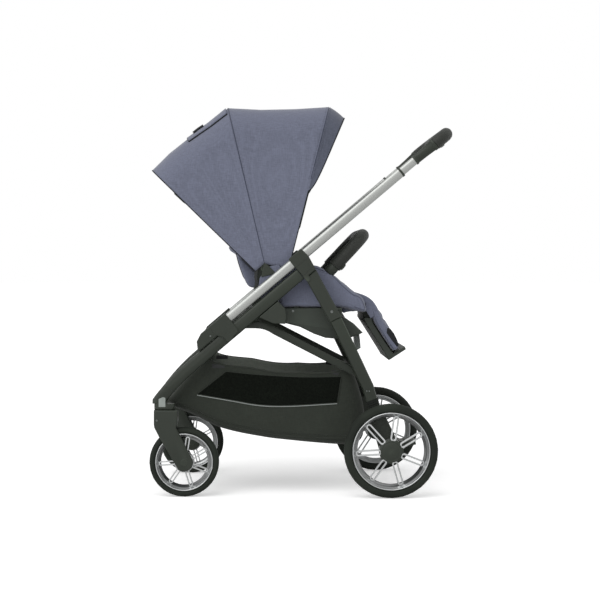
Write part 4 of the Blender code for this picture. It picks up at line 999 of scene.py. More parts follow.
def cloth_sheet(name: str, columns: int, rows: int, place: Callable[[float, float], Vector],
                thickness: float, finish: Finish, inside: Vector) -> Piece:
    """A sheet laid over a curved surface.

    Args:
        name: The piece's name.
        columns: Squares along the first direction.
        rows: Squares along the second.
        place: Where a point of the sheet lies, from its two shares of 0 to 1.
        thickness: Thickness of the cloth, laid inside the surface.
        finish: The cloth.
        inside: A point inside the sheet's curve, which its faces look away from.

    Returns:
        The object, with its thickness as a modifier.
    """
    bm = bmesh.new()
    bmesh.ops.create_grid(bm, x_segments=columns, y_segments=rows, size=0.5)
    for vert in bm.verts:
        vert.co = place(clamped(vert.co.x + 0.5), clamped(vert.co.y + 0.5))
    bmesh.ops.remove_doubles(bm, verts=bm.verts, dist=1e-5)
    bm.normal_update()
    look_outwards(bm, inside)
    piece = object_of(name, bm, finish, angle=180.0, recalculate=False)
    solid = piece.modifiers.new("cloth", "SOLIDIFY")
    solid.thickness = thickness
    solid.offset = -1.0
    return piece


def declared_sheet(piece: Piece, flat: Point) -> None:
    """Says how a sheet was cut, with its own area where the cut isn't a rectangle.

    Args:
        piece: The sheet, before it has its thickness.
        flat: Length and width of the cut.
    """
    area = sum(polygon.area for polygon in piece.data.polygons)
    LOG.info("%s is cut %.3f by %.3f m, %.4f square metres", piece.name, *flat, area)


# Wheels


class WheelKind(Enum):
    """The two kinds of wheel."""

    FRONT = "front"
    REAR = "rear"


@dataclass(frozen=True)
class Wheel:
    """One wheel: tyre, cast rim with looped spokes, and hub."""

    kind: WheelKind
    side: Side
    axle: Point
    track: float
    radius: float
    rim_radius: float
    width: float
    hub_radius: float
    spoke_start: float
    spoke_width: float
    bar: float
    dish: Point
    hub_recess: float
    cap_reach: float
    cap_rise: float
    rim_inset: float = 0.0015
    spoke_depth: float = 0.007
    well: float = 0.0105
    spokes: int = 7
    phase: float = radians(81.0)
    steps: int = 112

    @property
    def centre(self) -> Vector:
        """Middle of the wheel."""
        return at(self.axle, self.side.value * self.track)

    @property
    def body(self) -> str:
        """The body that the wheel turns with."""
        return self.name("wheel")

    def name(self, part: str) -> str:
        """The name of one of its parts."""
        return f"{self.kind.value}_{part}_{self.side.word}"

    def build(self) -> None:
        """Makes the tyre, rim and hub."""
        self.tyre()
        self.rim()
        self.hub()

    def tyre(self) -> None:
        """The tyre, with two grooves round its crown, siped shoulders and a line on each sidewall."""
        inner = self.rim_radius + 0.0003
        half = self.width / 2
        edge = 0.55 * (self.radius - inner)
        crown = self.radius
        right = [
            (crown, 0.0), (crown, half * 0.16), (crown - 0.0011, half * 0.19), (crown - 0.0011, half * 0.25),
            (crown - 0.0002, half * 0.28), (crown - 0.0006, half * 0.46), (crown - 0.10 * edge, half * 0.62),
            (crown - 0.24 * edge, half * 0.78), (crown - 0.50 * edge, half * 0.91), (crown - edge, half),
            (crown - edge - 0.0012, half * 0.985), (crown - edge - 0.0020, half * 0.995),
            (inner + 0.0030, half * 0.90), (inner, half * 0.80),
        ]
        profile = right + [(r, -y) for r, y in reversed(right[1:])]
        bm = turned(profile, Vector(), self.steps)
        shoulder = [
            f for f in bm.faces
            if half * 0.28 < abs(f.calc_center_median().y) < half * 0.62 and self.is_siped(f)
        ]
        bmesh.ops.inset_individual(bm, faces=shoulder, thickness=0.0009, depth=-0.0004)
        bmesh.ops.translate(bm, verts=bm.verts, vec=self.centre)
        piece = object_of(f"{self.name('tyre')}_finished", bm, TYRE, angle=38.0)
        publish(piece, self.body, Slot.TYRE, self.name("tyre"))

    def is_siped(self, face: bmesh.types.BMFace) -> bool:
        """Whether a face lies in every fourth place round the tyre."""
        turn = face.calc_center_median().xz.angle_signed(Vector((1, 0)))
        return round(turn / tau * self.steps - 0.5) % 4 == 0

    def rim(self) -> None:
        """The cast barrel with rolled lips, and its looped spokes."""
        half = self.width / 2 - self.rim_inset
        radius = self.rim_radius
        right = [
            (radius, half - 0.0010), (radius - 0.0006, half + 0.0006), (radius - 0.0018, half + 0.0012),
            (radius - 0.0032, half + 0.0006), (radius - 0.0038, half - 0.0010),
            (radius - self.well * 0.62, half - 0.0052), (radius - self.well * 0.90, half - 0.0085),
            (radius - self.well, half * 0.30),
        ]
        left = [(r - (radius - r) * (0.5 if radius - r > 0.0045 else 0.0), -y) for r, y in reversed(right)]
        barrel = turned([(r, y * self.side.value) for r, y in right + left], self.centre, self.steps)
        lip = object_of(f"{self.name('rim')}_finished", barrel, SILVER_RIM, angle=50.0)
        # Faces that do not look along the axle, in the barrel's well, take the darker copy: partly a two-tone
        # finish, partly painted shade.
        lip.data.materials.append(SILVER_BARREL_PAINTED_SHADE.build())
        for polygon in lip.data.polygons:
            polygon.material_index = 1 if abs(polygon.normal.y) < 0.5 else 0
        publish(lip, self.body, Slot.CAST, self.name("rim"))
        loops = bmesh.new()
        for i in range(self.spokes):
            self.spoke(loops, self.phase + tau * i / self.spokes)
        star = object_of(self.name("spokes"), loops, SILVER_RIM, angle=50.0)
        publish(eased(star, 0.0008), self.body, Slot.CAST)

    def spoke(self, bm: Mesh, angle: float) -> None:
        """Adds one spoke: a long loop of bar that leans out from the rim to the face of the hub.

        Args:
            bm: The mesh of all the spokes.
            angle: The spoke's direction round the axle.
        """
        start = self.spoke_start
        end = self.rim_radius - self.well + 0.0015
        reach = self.spoke_width / 2
        loop = bmesh.new()
        rings = []
        for radius in (reach, reach - self.bar):
            outline = capsule((start + reach, 0.0), (end - reach, 0.0), radius, 8)
            rings.append([loop.verts.new(at(p, -self.spoke_depth / 2)) for p in outline])
        count = len(rings[0])
        for ring in rings:
            for k in range(count):
                loop.edges.new((ring[k], ring[(k + 1) % count]))
        faces = bmesh.ops.bridge_loops(loop, edges=loop.edges[:])["faces"]
        extruded(loop, faces, ACROSS * self.spoke_depth)
        inner, outer = self.dish
        for vert in loop.verts:
            vert.co.y += self.side.value * (inner + (outer - inner) * (vert.co.x - start) / (end - start))
        turn = Matrix.Rotation(-angle, 4, "Y")
        bmesh.ops.transform(loop, matrix=Matrix.Translation(self.centre) @ turn, verts=loop.verts)
        bmesh.ops.recalc_face_normals(loop, faces=loop.faces)
        mesh = bpy.data.meshes.new("spoke")
        loop.to_mesh(mesh)
        loop.free()
        bm.from_mesh(mesh)
        bpy.data.meshes.remove(mesh)

    def hub(self) -> None:
        """The hub barrel with a domed dark cap on its outer face and a bearing collar behind."""
        out = self.side.value
        half = self.width / 2 - self.rim_inset
        outer = half - self.hub_recess
        profile = [
            (0.0054, -half), (0.0054, outer - 0.0005), (self.hub_radius * 0.92, outer - 0.0005),
            (self.hub_radius, outer - 0.0040), (self.hub_radius, -0.0030),
            (self.hub_radius * 0.72, -half * 0.7), (self.hub_radius * 0.66, -half),
        ]
        barrel = turned([(r, y * out) for r, y in profile], self.centre, 64)
        piece = object_of(self.name("hub"), barrel, SILVER_RIM, angle=40.0)
        publish(eased(piece, 0.0006), self.body, Slot.CAST)
        reach = self.cap_reach
        rise = outer + self.cap_rise
        cap = [
            (0.0002, outer - 0.0002), (reach, outer - 0.0002), (reach, outer + 0.0014),
            (reach - 0.0012, outer + 0.0024), (reach * 0.80, rise - 0.0012),
            (reach * 0.74, rise - 0.0017), (reach * 0.70, rise - 0.0010),
            (reach * 0.34, rise), (0.0002, rise),
        ]
        domed = turned([(r, y * out) for r, y in cap], self.centre, 64)
        piece = object_of(self.name("hub_disc"), domed, FRAME_PLASTIC, angle=30.0)
        nodes = [self.name("hub_cap")] if self.kind is WheelKind.REAR else []
        publish(piece, self.body, Slot.PLASTIC, *nodes)


def holed(bm: Mesh, wall: float) -> Mesh:
    """Opens a swept bar from end to end, leaving a wall.

    Args:
        bm: The bar, whose last two faces are its ends.
        wall: Thickness of the wall.

    Returns:
        The same mesh.
    """
    bm.faces.ensure_lookup_table()
    ends = [bm.faces[-2], bm.faces[-1]]
    edges = []
    for end in ends:
        bmesh.ops.inset_region(bm, faces=[end], thickness=wall, use_even_offset=True)
        edges += list(end.edges)
    bmesh.ops.delete(bm, geom=ends, context="FACES_ONLY")
    bmesh.ops.bridge_loops(bm, edges=edges)
    return bm


def bored(bm: Mesh, face: bmesh.types.BMFace, wall: float, inward: Vector) -> None:
    """Sinks a round hole into an end face.

    Args:
        bm: The mesh.
        face: Its end face.
        wall: What is left round the hole.
        inward: How far and which way the hole goes.
    """
    bmesh.ops.inset_region(bm, faces=[face], thickness=wall, use_even_offset=True)
    extruded(bm, [face], inward)
    bmesh.ops.delete(bm, geom=[face], context="FACES_ONLY")


# Frame


@dataclass(frozen=True)
class Chassis:
    """The tubes, legs, mouldings and links of the folding frame."""

    moulded: tuple[str, ...] = (
        "swivel_housing", "frame_collar", "seat_mount", "slider", "tube_ring", "handle_bracket",
        "rear_leg_joint", "axle_housing", "fork",
    )
    leg_face_y: float = FRAME_Y + 0.0125
    housing_face_y: float = FRAME_Y + 0.0122
    joint_face_y: float = FRAME_Y + 0.0135
    mould_face_y: float = FRAME_Y + 0.0170
    boot_top: Point = (0.1975, 0.272)
    boot_length: float = 0.0304
    boot_ribs: int = 5
    outer_ends: Point = (-0.298, 0.378)
    outer_size: Point = (0.0280, 0.0240)
    inner_ends: Point = (0.278, 0.453)
    inner_size: Point = (0.0238, 0.0198)
    tube_wall: float = 0.0018

    def build(self) -> None:
        """Makes both sides and what joins them."""
        for side in Side:
            for kind in self.moulded:
                refined(f"{kind}_{side.word}", FRAME_PLASTIC, Slot.PLASTIC)
            for kind in ("front_leg", "rear_leg"):
                refined(f"{kind}_{side.word}", LEG_COAT, Slot.PLASTIC, ease=0.0012)
            self.tube("handle_tube", "handle", side, self.outer_ends, self.outer_size)
            self.tube("inner_tube", "grip", side, self.inner_ends, self.inner_size)
            refined(f"brace_{side.word}", DARK_STEEL, Slot.STEEL, ease=0.0012)
            self.boot(side)
            self.small_parts(side)
        refined("front_crossbar", DARK_STEEL, Slot.PLASTIC, ease=0.0008)
        refined("rear_axle_bar", DARK_STEEL, Slot.STEEL, ease=0.0008)
        refined("brake_pedal", FRAME_PLASTIC, Slot.PLASTIC, ease=0.0012)
        refined("telescope_button", TAB_PLASTIC, Slot.PLASTIC)
        self.brake_ribs()

    def tube(self, kind: str, body: str, side: Side, ends: Point, size: Point) -> None:
        """One length of silver tube, open at both ends.

        Args:
            kind: The frame node's name without its side.
            body: The body it moves with.
            side: Which side.
            ends: Its ends, up the tube from the collar.
            size: Its depth and width.
        """
        path = [at(side_point(s, 0.0), side.value * FRAME_Y) for s in ends]
        bm = holed(swept(path, ACROSS, [size] * 2, 48, 2.5), self.tube_wall)
        piece = object_of(f"{kind}_{side.word}_finished", bm, SILVER_TUBE, angle=50.0)
        publish(piece, body, Slot.TUBE, f"{kind}_{side.word}")

    def boot(self, side: Side) -> None:
        """The ribbed rubber boot, fixed to the rear frame.

        Args:
            side: Which side.
        """
        top = at(self.boot_top, side.value * FRAME_Y)
        down = (at(REAR_AXLE, side.value * FRAME_Y) - top).normalized()
        steps = self.boot_ribs * 6
        path = [top + down * (0.0003 + self.boot_length * i / steps) for i in range(steps + 1)]
        depth = [0.0335 + 0.0026 * cos(tau * self.boot_ribs * i / steps) for i in range(steps + 1)]
        bm = holed(swept(path, ACROSS, [(d, d * 0.72) for d in depth], 32, 3.0), 0.0025)
        piece = object_of(f"suspension_boot_{side.word}_finished", bm, BOOT, angle=60.0)
        publish(piece, "rear_frame", Slot.BOOT, f"suspension_boot_{side.word}")
        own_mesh(piece)

    def small_parts(self, side: Side) -> None:
        """Tabs, screws and moulding seams on the outer faces.

        Args:
            side: Which side.
        """
        out = side.value
        outward = ACROSS * out
        outline = [
            (-0.4030, 0.2535), (-0.3842, 0.2535), (-0.3842, 0.2790), (-0.3905, 0.2815), (-0.4030, 0.2760),
        ]
        plate = prism(outline, out * (self.leg_face_y - 0.0013), 0.0030)
        tab = object_of(f"swivel_lock_tab_{side.word}", plate, TAB_PLASTIC)
        publish(eased(tab, 0.0002), "chassis", Slot.PLASTIC)
        screws = (
            ("fork_screw", (-0.4077, 0.2169), FRAME_Y + 0.0255, 0.0030, f"caster_{side.word}"),
            ("slider_screw", (-0.2574, 0.4532), self.mould_face_y, 0.0026, "handle"),
            ("rear_leg_rivet_upper", (0.1826, 0.2972), self.joint_face_y, 0.0022, "rear_frame"),
            ("rear_leg_rivet_lower", (0.1898, 0.2972), self.joint_face_y, 0.0022, "rear_frame"),
            ("rear_leg_pivot", (0.0836, 0.5211), self.joint_face_y, 0.0042, "rear_frame"),
            ("seat_side_screw", (-0.0244, 0.5217), 0.2000, 0.0034, "seat"),
        )
        for name, place, y, radius, body in screws:
            foot = at(place, out * (y - 0.0003))
            head = disc(f"{name}_{side.word}", foot, radius, 0.0011, outward, SCREW_STEEL)
            publish(head, body, Slot.STEEL)
            # Each screw's slot is a dark cord laid on its head: painted shade for the slot's recess.
            slot_shade_line = [at((place[0] + k * radius * 0.7, place[1] + k * radius * 0.3), out * (y + 0.0008))
                         for k in (-1, 1)]
            cross = cord(f"{name}_slot_{side.word}", [slot_shade_line], 0.0004, DARK_THREAD)
            publish(cross, body, Slot.STEEL)
        self.seams(side)

    def seams(self, side: Side) -> None:
        """Parting lines of the mouldings, as fine dark lines.

        Args:
            side: Which side.
        """
        out = side.value
        face = self.mould_face_y
        lines = (
            ("slider_cap_seam", "handle", face, side_point(-0.311, -0.0145), side_point(-0.319, 0.0155)),
            ("collar_upper_seam", "chassis", face, side_point(-0.018, 0.0140), side_point(0.027, 0.0140)),
            ("collar_lower_seam", "chassis", face, side_point(-0.0165, 0.0440), side_point(0.0215, 0.0440)),
            ("housing_seam", "chassis", self.housing_face_y, side_point(-0.515, 0.0330),
             side_point(-0.505, 0.0590)),
            ("joint_seam", "rear_frame", self.joint_face_y, (0.0735, 0.5100), (0.1065, 0.5275)),
        )
        for name, body, y, *ends in lines:
            line = [at(p, out * y) for p in ends]
            publish(cord(f"{name}_{side.word}", [even(line, 0.002)], 0.0004, DARK_THREAD), body, Slot.PLASTIC)

    def brake_ribs(self) -> None:
        """Grip ribs across the brake's tread."""
        lines = []
        for i in range(5):
            x = REAR_AXLE[0] + 0.063 + 0.0062 * i
            z = REAR_AXLE[1] - 0.0026 + (x - REAR_AXLE[0] - 0.055) * 7 / 38 - 0.0009
            lines.append([Vector((x, y, z)) for y in (-0.038, 0.038)])
        publish(cord("brake_tread_ribs", lines, 0.0009, FRAME_PLASTIC), "brake", Slot.PLASTIC)


@dataclass(frozen=True)
class Handle:
    """The leather-covered crossbar of the handle."""

    start_s: float = 0.5058
    reach: float = 0.0485
    bend: float = 0.050
    droop: float = 0.0010
    radius: float = 0.0183

    def line(self, below: float = 0.0, steps: int = 14) -> list[Vector]:
        """The grip's centreline, or a line beside it on the lower face.

        Args:
            below: Depth below the centreline.
            steps: Steps round each corner.

        Returns:
            The line's points, from left to right.
        """
        corner_y = FRAME_Y - self.bend
        plan = [(0.0, -FRAME_Y), (0.003, -FRAME_Y)]
        for i in range(1, steps + 1):
            a = pi - pi / 2 * i / steps
            plan.append((self.reach - self.bend + self.bend * sin(a), -corner_y + self.bend * cos(a)))
        plan = [p for p in plan if p[0] >= 0.0]
        plan += [(s, -y) for s, y in reversed(plan)]
        return [
            at(side_point(self.start_s + s, self.droop * (s / self.reach) ** 2 + below), y) for s, y in plan
        ]

    def build(self) -> None:
        """Makes the grip, its sewn seam and its stitches."""
        below = Vector((sin(SLOPE), 0.0, -cos(SLOPE)))
        path = self.line()
        bm = swept(path, below, [(2 * self.radius, 2 * self.radius)] * len(path), 32)
        grip = object_of("handle_grip_finished", bm, HAND_LEATHER)
        publish(grip, "grip", Slot.GRIP, "handle_grip")
        seam = self.line(self.radius + 0.0001)
        publish(cord("handle_grip_seam", [even(seam, 0.004)], 0.0007, HAND_LEATHER), "grip", Slot.GRIP)
        rows = []
        for shift in (-0.0030, 0.0030):
            line = [p + Vector((cos(SLOPE), 0.0, sin(SLOPE))) * shift for p in seam]
            rows += stitches([p for p in even(line, 0.0008) if abs(p.y) < FRAME_Y - 0.06])
        publish(cord("handle_grip_stitches", rows, 0.00035, DARK_THREAD, round_steps=0), "grip", Slot.GRIP)


@dataclass(frozen=True)
class Bumper:
    """The bar across the child's lap, covered in leatherette over plastic sleeves."""

    foot: Point = (0.0775, 0.630)
    top: Point = (0.1785, 0.738)
    half: float = 0.183
    bend: float = 0.060
    radius: float = 0.0185
    sleeve: float = 0.0159
    sleeve_length: float = 0.025
    stud: float = 0.0083

    def build(self) -> None:
        """Makes the bar with its bored sleeves, and its seams and stitches."""
        foot = Vector(self.foot)
        run = Vector(self.top) - foot
        rise = run.length
        up = at((run.normalized().x, run.normalized().y), 0.0)
        plan = [
            (0.0, -self.half, self.sleeve - 0.001), (0.001, -self.half, self.sleeve),
            (self.sleeve_length - 0.001, -self.half, self.sleeve),
            (self.sleeve_length, -self.half, self.radius - 0.0008),
            (self.sleeve_length + 0.001, -self.half, self.radius),
        ]
        steps = 14
        for i in range(steps + 1):
            a = pi - pi / 2 * i / steps
            y = -(self.half - self.bend) + self.bend * cos(a)
            plan.append((rise - self.bend * (1 - sin(a)), y, self.radius))
        plan += [(s, -y, r) for s, y, r in reversed(plan)]
        base = at(self.foot, 0.0)
        path = [base + up * s + ACROSS * y for s, y, _ in plan]
        bm = swept(path, ACROSS.cross(up), [(2 * r, 2 * r) for _, _, r in plan], 32)
        bm.faces.ensure_lookup_table()
        for face in (bm.faces[-2], bm.faces[-1]):
            bored(bm, face, self.sleeve - 0.001 - self.stud, up * 0.026)
        bar = object_of("bumper_bar_finished", bm, HAND_LEATHER, angle=50.0)
        bar.data.materials.append(FRAME_PLASTIC.build())
        for polygon in bar.data.polygons:
            if (polygon.center - base).dot(up) < self.sleeve_length:
                polygon.material_index = 1
        publish(bar, "bumper", Slot.GRIP, "bumper_bar")
        inner = ACROSS.cross(up) * -(self.radius + 0.0001)
        seam = [p + inner for p, (s, _, _) in zip(path, plan) if s > self.sleeve_length + 0.0005]
        publish(cord("bumper_seam", [even(seam, 0.004)], 0.0007, HAND_LEATHER), "bumper", Slot.GRIP)
        beside = [p + ACROSS.cross(up) * 0.0005 for p in seam]
        rows = []
        for shift in (-0.0032, 0.0032):
            line = even([p + up * shift for p in beside], 0.0008)
            rows += stitches([p for p in line if abs(p.y) < self.half - self.bend])
        publish(cord("bumper_stitches", rows, 0.00035, DARK_THREAD, round_steps=0), "bumper", Slot.GRIP)
        self.end_welts(base, up)
        for side in Side:
            outer = base + ACROSS * side.value * self.half + ACROSS.cross(up) * (self.radius - 0.002)
            latch = [outer + up * s for s in (0.0290, 0.0340, 0.0470, 0.0510)]
            sizes = [(0.008, 0.011), (0.013, 0.014), (0.012, 0.014), (0.007, 0.011)]
            bm = swept(latch, ACROSS, sizes, 24, 3.0)
            publish(object_of(f"bumper_latch_{side.word}", bm, FRAME_PLASTIC), "bumper", Slot.PLASTIC)

    def end_welts(self, base: Vector, up: Vector) -> None:
        """A rolled welt round the cover where each leg of the bar meets its sleeve.

        Args:
            base: The bar's foot, on the middle plane.
            up: Direction of its legs.
        """
        lines = []
        for side in Side:
            centre = base + up * (self.sleeve_length + 0.0016) + ACROSS * side.value * self.half
            across = ACROSS.cross(up)
            lines.append([
                centre + (ACROSS * cos(tau * k / 40) + across * sin(tau * k / 40)) * (self.radius + 0.0002)
                for k in range(40)
            ])
        publish(cord("bumper_welts", lines, 0.0011, HAND_LEATHER, closed=True), "bumper", Slot.GRIP)


# Soft goods


@dataclass(frozen=True)
class Arch:
    """A line over the canopy, or under the basket: up one side, round a corner, and across."""

    foot: Point
    top: Point
    half: float
    shoulder: float
    crown: float

    def lengths(self) -> tuple[float, float, float]:
        """Length of the leg, of the corner, and of the flat part up to the middle."""
        rise = (Vector(self.top) - Vector(self.foot)).length
        return (rise - self.shoulder, self.shoulder * pi / 2, self.half - self.shoulder)

    def total(self) -> float:
        """Length of the whole line."""
        return 2 * sum(self.lengths())

    def point(self, share: float) -> Vector:
        """A point of the line.

        Args:
            share: Share of the way from the left foot to the right one.

        Returns:
            The point.
        """
        foot, top = Vector(self.foot), Vector(self.top)
        length = (top - foot).length
        up = (top - foot) / length
        leg, corner, flat = self.lengths()
        way = -1 if share < 0.5 else 1
        run = (leg + corner + flat) * 2 * min(share, 1 - share)
        if run < leg:
            y, height = self.half, run
        elif run < leg + corner:
            a = (run - leg) / self.shoulder
            y, height = self.half - self.shoulder * (1 - cos(a)), leg + self.shoulder * sin(a)
        else:
            y = max(flat * (1 - (run - leg - corner) / flat), 0.0)
            height = length + self.crown * (1 - (y / flat) ** 2)
        place = foot + up * height
        return at((place.x, place.y), way * y)


def blended(arches: Sequence[Arch], share: float) -> Arch:
    """An arch between others.

    Args:
        arches: The arches.
        share: Share of the way from the first to the last.

    Returns:
        The arch.
    """
    place = share * (len(arches) - 1)
    index = min(int(place), len(arches) - 2)
    t = place - index
    first, second = arches[index], arches[index + 1]

    def mix(a: float, b: float) -> float:
        """A value between two."""
        return a + (b - a) * t

    return Arch(
        (mix(first.foot[0], second.foot[0]), mix(first.foot[1], second.foot[1])),
        (mix(first.top[0], second.top[0]), mix(first.top[1], second.top[1])),
        mix(first.half, second.half), mix(first.shoulder, second.shoulder), mix(first.crown, second.crown),
    )


def smooth_point(points: Sequence[Point], share: float) -> Point:
    """A point on the smooth curve through others.

    Args:
        points: The points.
        share: Share of the way from the first to the last.

    Returns:
        The point.
    """
    place = share * (len(points) - 1)
    index = min(int(place), len(points) - 2)
    t = place - index
    p1, p2 = Vector(points[index]), Vector(points[index + 1])
    p0 = Vector(points[index - 1]) if index else p1 * 2 - p2
    p3 = Vector(points[index + 2]) if index + 2 < len(points) else p2 * 2 - p1
    found = (p1 * 2 + (p2 - p0) * t + (p0 * 2 - p1 * 5 + p2 * 4 - p3) * t * t
             + (p1 * 3 - p0 - p2 * 3 + p3) * t * t * t) / 2
    return (found.x, found.y)


@dataclass(frozen=True)
class Canopy:
    """The folding canopy: two sheets over two bows, with seams, piping, a vent flap and a visor."""

    half: float = 0.2130
    shoulder: float = 0.075
    crown: float = 0.012
    rear: tuple[Point, Point] = (back_point(0.012, -0.0235), (-0.4258, 0.9218))
    crease: tuple[Point, Point] = ((-0.1165, 0.6480), (-0.3220, 1.0140))
    middle: tuple[Point, Point] = ((-0.1055, 0.6570), (-0.2095, 1.1010))
    front: tuple[Point, Point] = ((-0.0390, 0.6392), (0.0790, 1.1050))
    visor_foot: float = 0.862
    visor_reach: float = 0.046
    visor_drop: float = 0.030
    thickness: float = 0.0016
    slack: float = 0.0045
    curtain_start: float = 0.065

    def arch(self, line: tuple[Point, Point], sag: float = 0.0) -> Arch:
        """The arch that stands on a line of the side plane.

        Args:
            line: Its foot and its top.
            sag: How far its top is drawn in.

        Returns:
            The arch.
        """
        foot, top = Vector(line[0]), Vector(line[1])
        top += (foot - top).normalized() * sag
        return Arch(tuple(foot), tuple(top), self.half, self.shoulder, self.crown)

    def between(self, first: tuple[Point, Point], second: tuple[Point, Point], t: float, sag: float) -> Arch:
        """An arch between two lines.

        Args:
            first: The line at 0.
            second: The line at 1.
            t: The share between them.
            sag: How far its top is drawn in.

        Returns:
            The arch.
        """
        foot = Vector(first[0]).lerp(Vector(second[0]), t)
        top = Vector(first[1]).lerp(Vector(second[1]), t)
        return self.arch((tuple(foot), tuple(top)), sag)

    def rear_arches(self) -> list[Arch]:
        """The arches under the rear sheet, from its lower edge to the middle bow.

        Returns:
            The arches.
        """
        return [
            self.arch(self.rear), self.between(self.rear, self.crease, 0.5, -0.004), self.arch(self.crease),
            self.between(self.crease, self.middle, 0.5, 0.002), self.arch(self.middle),
        ]

    def front_arches(self) -> list[Arch]:
        """The arches under the front sheet, from the middle bow to the front bow.

        Returns:
            The arches.
        """
        return [
            self.between(self.middle, self.front, 0.004, 0.0),
            self.between(self.middle, self.front, 0.33, 0.006),
            self.between(self.middle, self.front, 0.67, 0.005), self.arch(self.front),
        ]

    def drape(self, arches: Sequence[Arch], share: float, across: float, tight: Sequence[float]) -> Vector:
        """A point of a sheet, drawn in between its bows and ruffled a little.

        Args:
            arches: The arches under the sheet.
            share: Share of the way from the first arch to the last.
            across: Share of the way along the arch.
            tight: Shares where the sheet is held tight.

        Returns:
            The point.
        """
        place = blended(arches, share).point(across)
        low = max((t for t in tight if t <= share), default=0.0)
        high = min((t for t in tight if t > share), default=1.0)
        span = (share - low) / max(high - low, 1e-6)
        loose = 4 * span * (1 - span)
        height = sin(pi * min(2 * min(across, 1 - across) / 0.72, 1.0))
        place.y *= 1 - self.slack * loose * height / self.half
        ripple = noise.noise(Vector((place.x * 7, place.y * 5, place.z * 7)))
        ripple += 0.5 * noise.noise(Vector((place.x * 19, place.y * 11, place.z * 15)))
        inward = Vector((-0.15 - place.x, -place.y, 0.80 - place.z)).normalized()
        return place + inward * (ripple + 0.6) * 0.0016 * loose * min(3 * height, 1.0)

    def rear_place(self, across: float, share: float) -> Vector:
        """A point of the rear sheet, which is held tight at its edge, at the crease and at the bow."""
        return self.drape(self.rear_arches(), share, across, (0.0, 0.5, 1.0))

    def front_place(self, across: float, share: float) -> Vector:
        """A point of the front sheet, which runs on into the visor past the front bow.

        Args:
            across: Share of the way along the bow.
            share: Share of the way from the middle bow to the brow.

        Returns:
            The point.
        """
        visor_share = 0.82
        if share <= visor_share:
            return self.drape(self.front_arches(), share / visor_share, across, (0.0, 1.0))
        t = (share - visor_share) / (1 - visor_share)
        place = self.arch(self.front).point(across)
        rise = max(0.0, (place.z - self.visor_foot) / (self.front[1][1] - self.visor_foot))
        reach = max(self.visor_reach * rise ** 0.45, 0.0015)
        place.y *= 1 - 0.06 * t * rise
        return place + Vector((reach * t, 0.0, -self.visor_drop * rise ** 2 * t ** 1.4))

    def build(self) -> None:
        """Makes the bows, sheets, seams and trims."""
        refined("canopy_middle_bow", DARK_STEEL, Slot.STEEL, ease=0.0006)
        refined("canopy_front_bow", DARK_STEEL, Slot.STEEL, ease=0.0006)
        rear = cloth_sheet("canopy_rear_sheet", 128, 56, self.rear_place, self.thickness, BLUE_CLOTH,
                           INSIDE_CANOPY)
        width = self.arch(self.middle).total()
        declared_sheet(rear, (width, 0.330))
        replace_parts(self.behind(baked(rear), Slot.SEAT), "canopy_rear_panel")
        front = cloth_sheet("canopy_front_sheet", 128, 56, self.front_place, self.thickness, BLUE_CLOTH,
                            INSIDE_CANOPY)
        declared_sheet(front, (width, 0.360))
        # Faces past the front bow and above the visor's foot take the darker copy of the cloth: painted shade
        # on the visor.
        front.data.materials.append(BLUE_VISOR_PAINTED_SHADE.build())
        lean = (self.front[1][0] - self.front[0][0]) / (self.front[1][1] - self.front[0][1])
        for polygon in front.data.polygons:
            ahead = polygon.center.x - self.front[0][0] - (polygon.center.z - self.front[0][1]) * lean
            polygon.material_index = 1 if ahead > 0.0015 and polygon.center.z > self.visor_foot + 0.01 else 0
        publish_between(baked(front), Slot.SEAT, ("canopy_middle", "canopy_front"), at(self.middle[1], 0.0),
                        at(self.front[1], 0.0), "canopy_front_panel")
        self.trims()
        self.vent()
        self.curtain()

    def curtain(self) -> None:
        """The cloth that closes the gap between the canopy's rear edge and the back board."""
        edge = self.arch(self.rear)
        board = Arch(back_point(0.020, -0.014), back_point(0.400, -0.013), 0.176, 0.045, 0.0)

        def place(u: float, v: float) -> Vector:
            """A point of the curtain.

            Args:
                u: Share of the way round.
                v: Share of the way inwards.

            Returns:
                The point.
            """
            share = self.curtain_start + (1 - 2 * self.curtain_start) * u
            point = edge.point(share).lerp(board.point(share), v)
            ruffle = noise.noise(Vector((u * 22, v * 2, 3.0))) * 0.0016 * 4 * v * (1 - v)
            return point + Vector((0.68, 0.0, 0.73)) * ruffle

        sheet = cloth_sheet("canopy_rear_curtain", 128, 10, place, 0.0012, BLUE_LINING, INSIDE_CANOPY)
        declared_sheet(sheet, (1.000, 0.050))
        publish(baked(sheet), "backrest", Slot.SEAT)

    def behind(self, piece: Piece, slot: Slot) -> Piece:
        """Sets a piece of the rear sheet, which lies between the back and the middle bow, in place; it
        follows neither.

        Args:
            piece: The piece, with its mesh final.
            slot: The record's slot.

        Returns:
            The piece.
        """
        start = at(self.rear[1], 0.0)
        end = start + Vector((0.1822, 0.0, 0.1022))
        return publish_between(piece, slot, ("backrest", "canopy_middle"), start, end)

    def row(self, place: Callable[[float], Vector], start: float = 0.0, end: float = 1.0,
            count: int = 150) -> list[Vector]:
        """Points of a line of the surface."""
        return [place(start + (end - start) * i / count) for i in range(count + 1)]

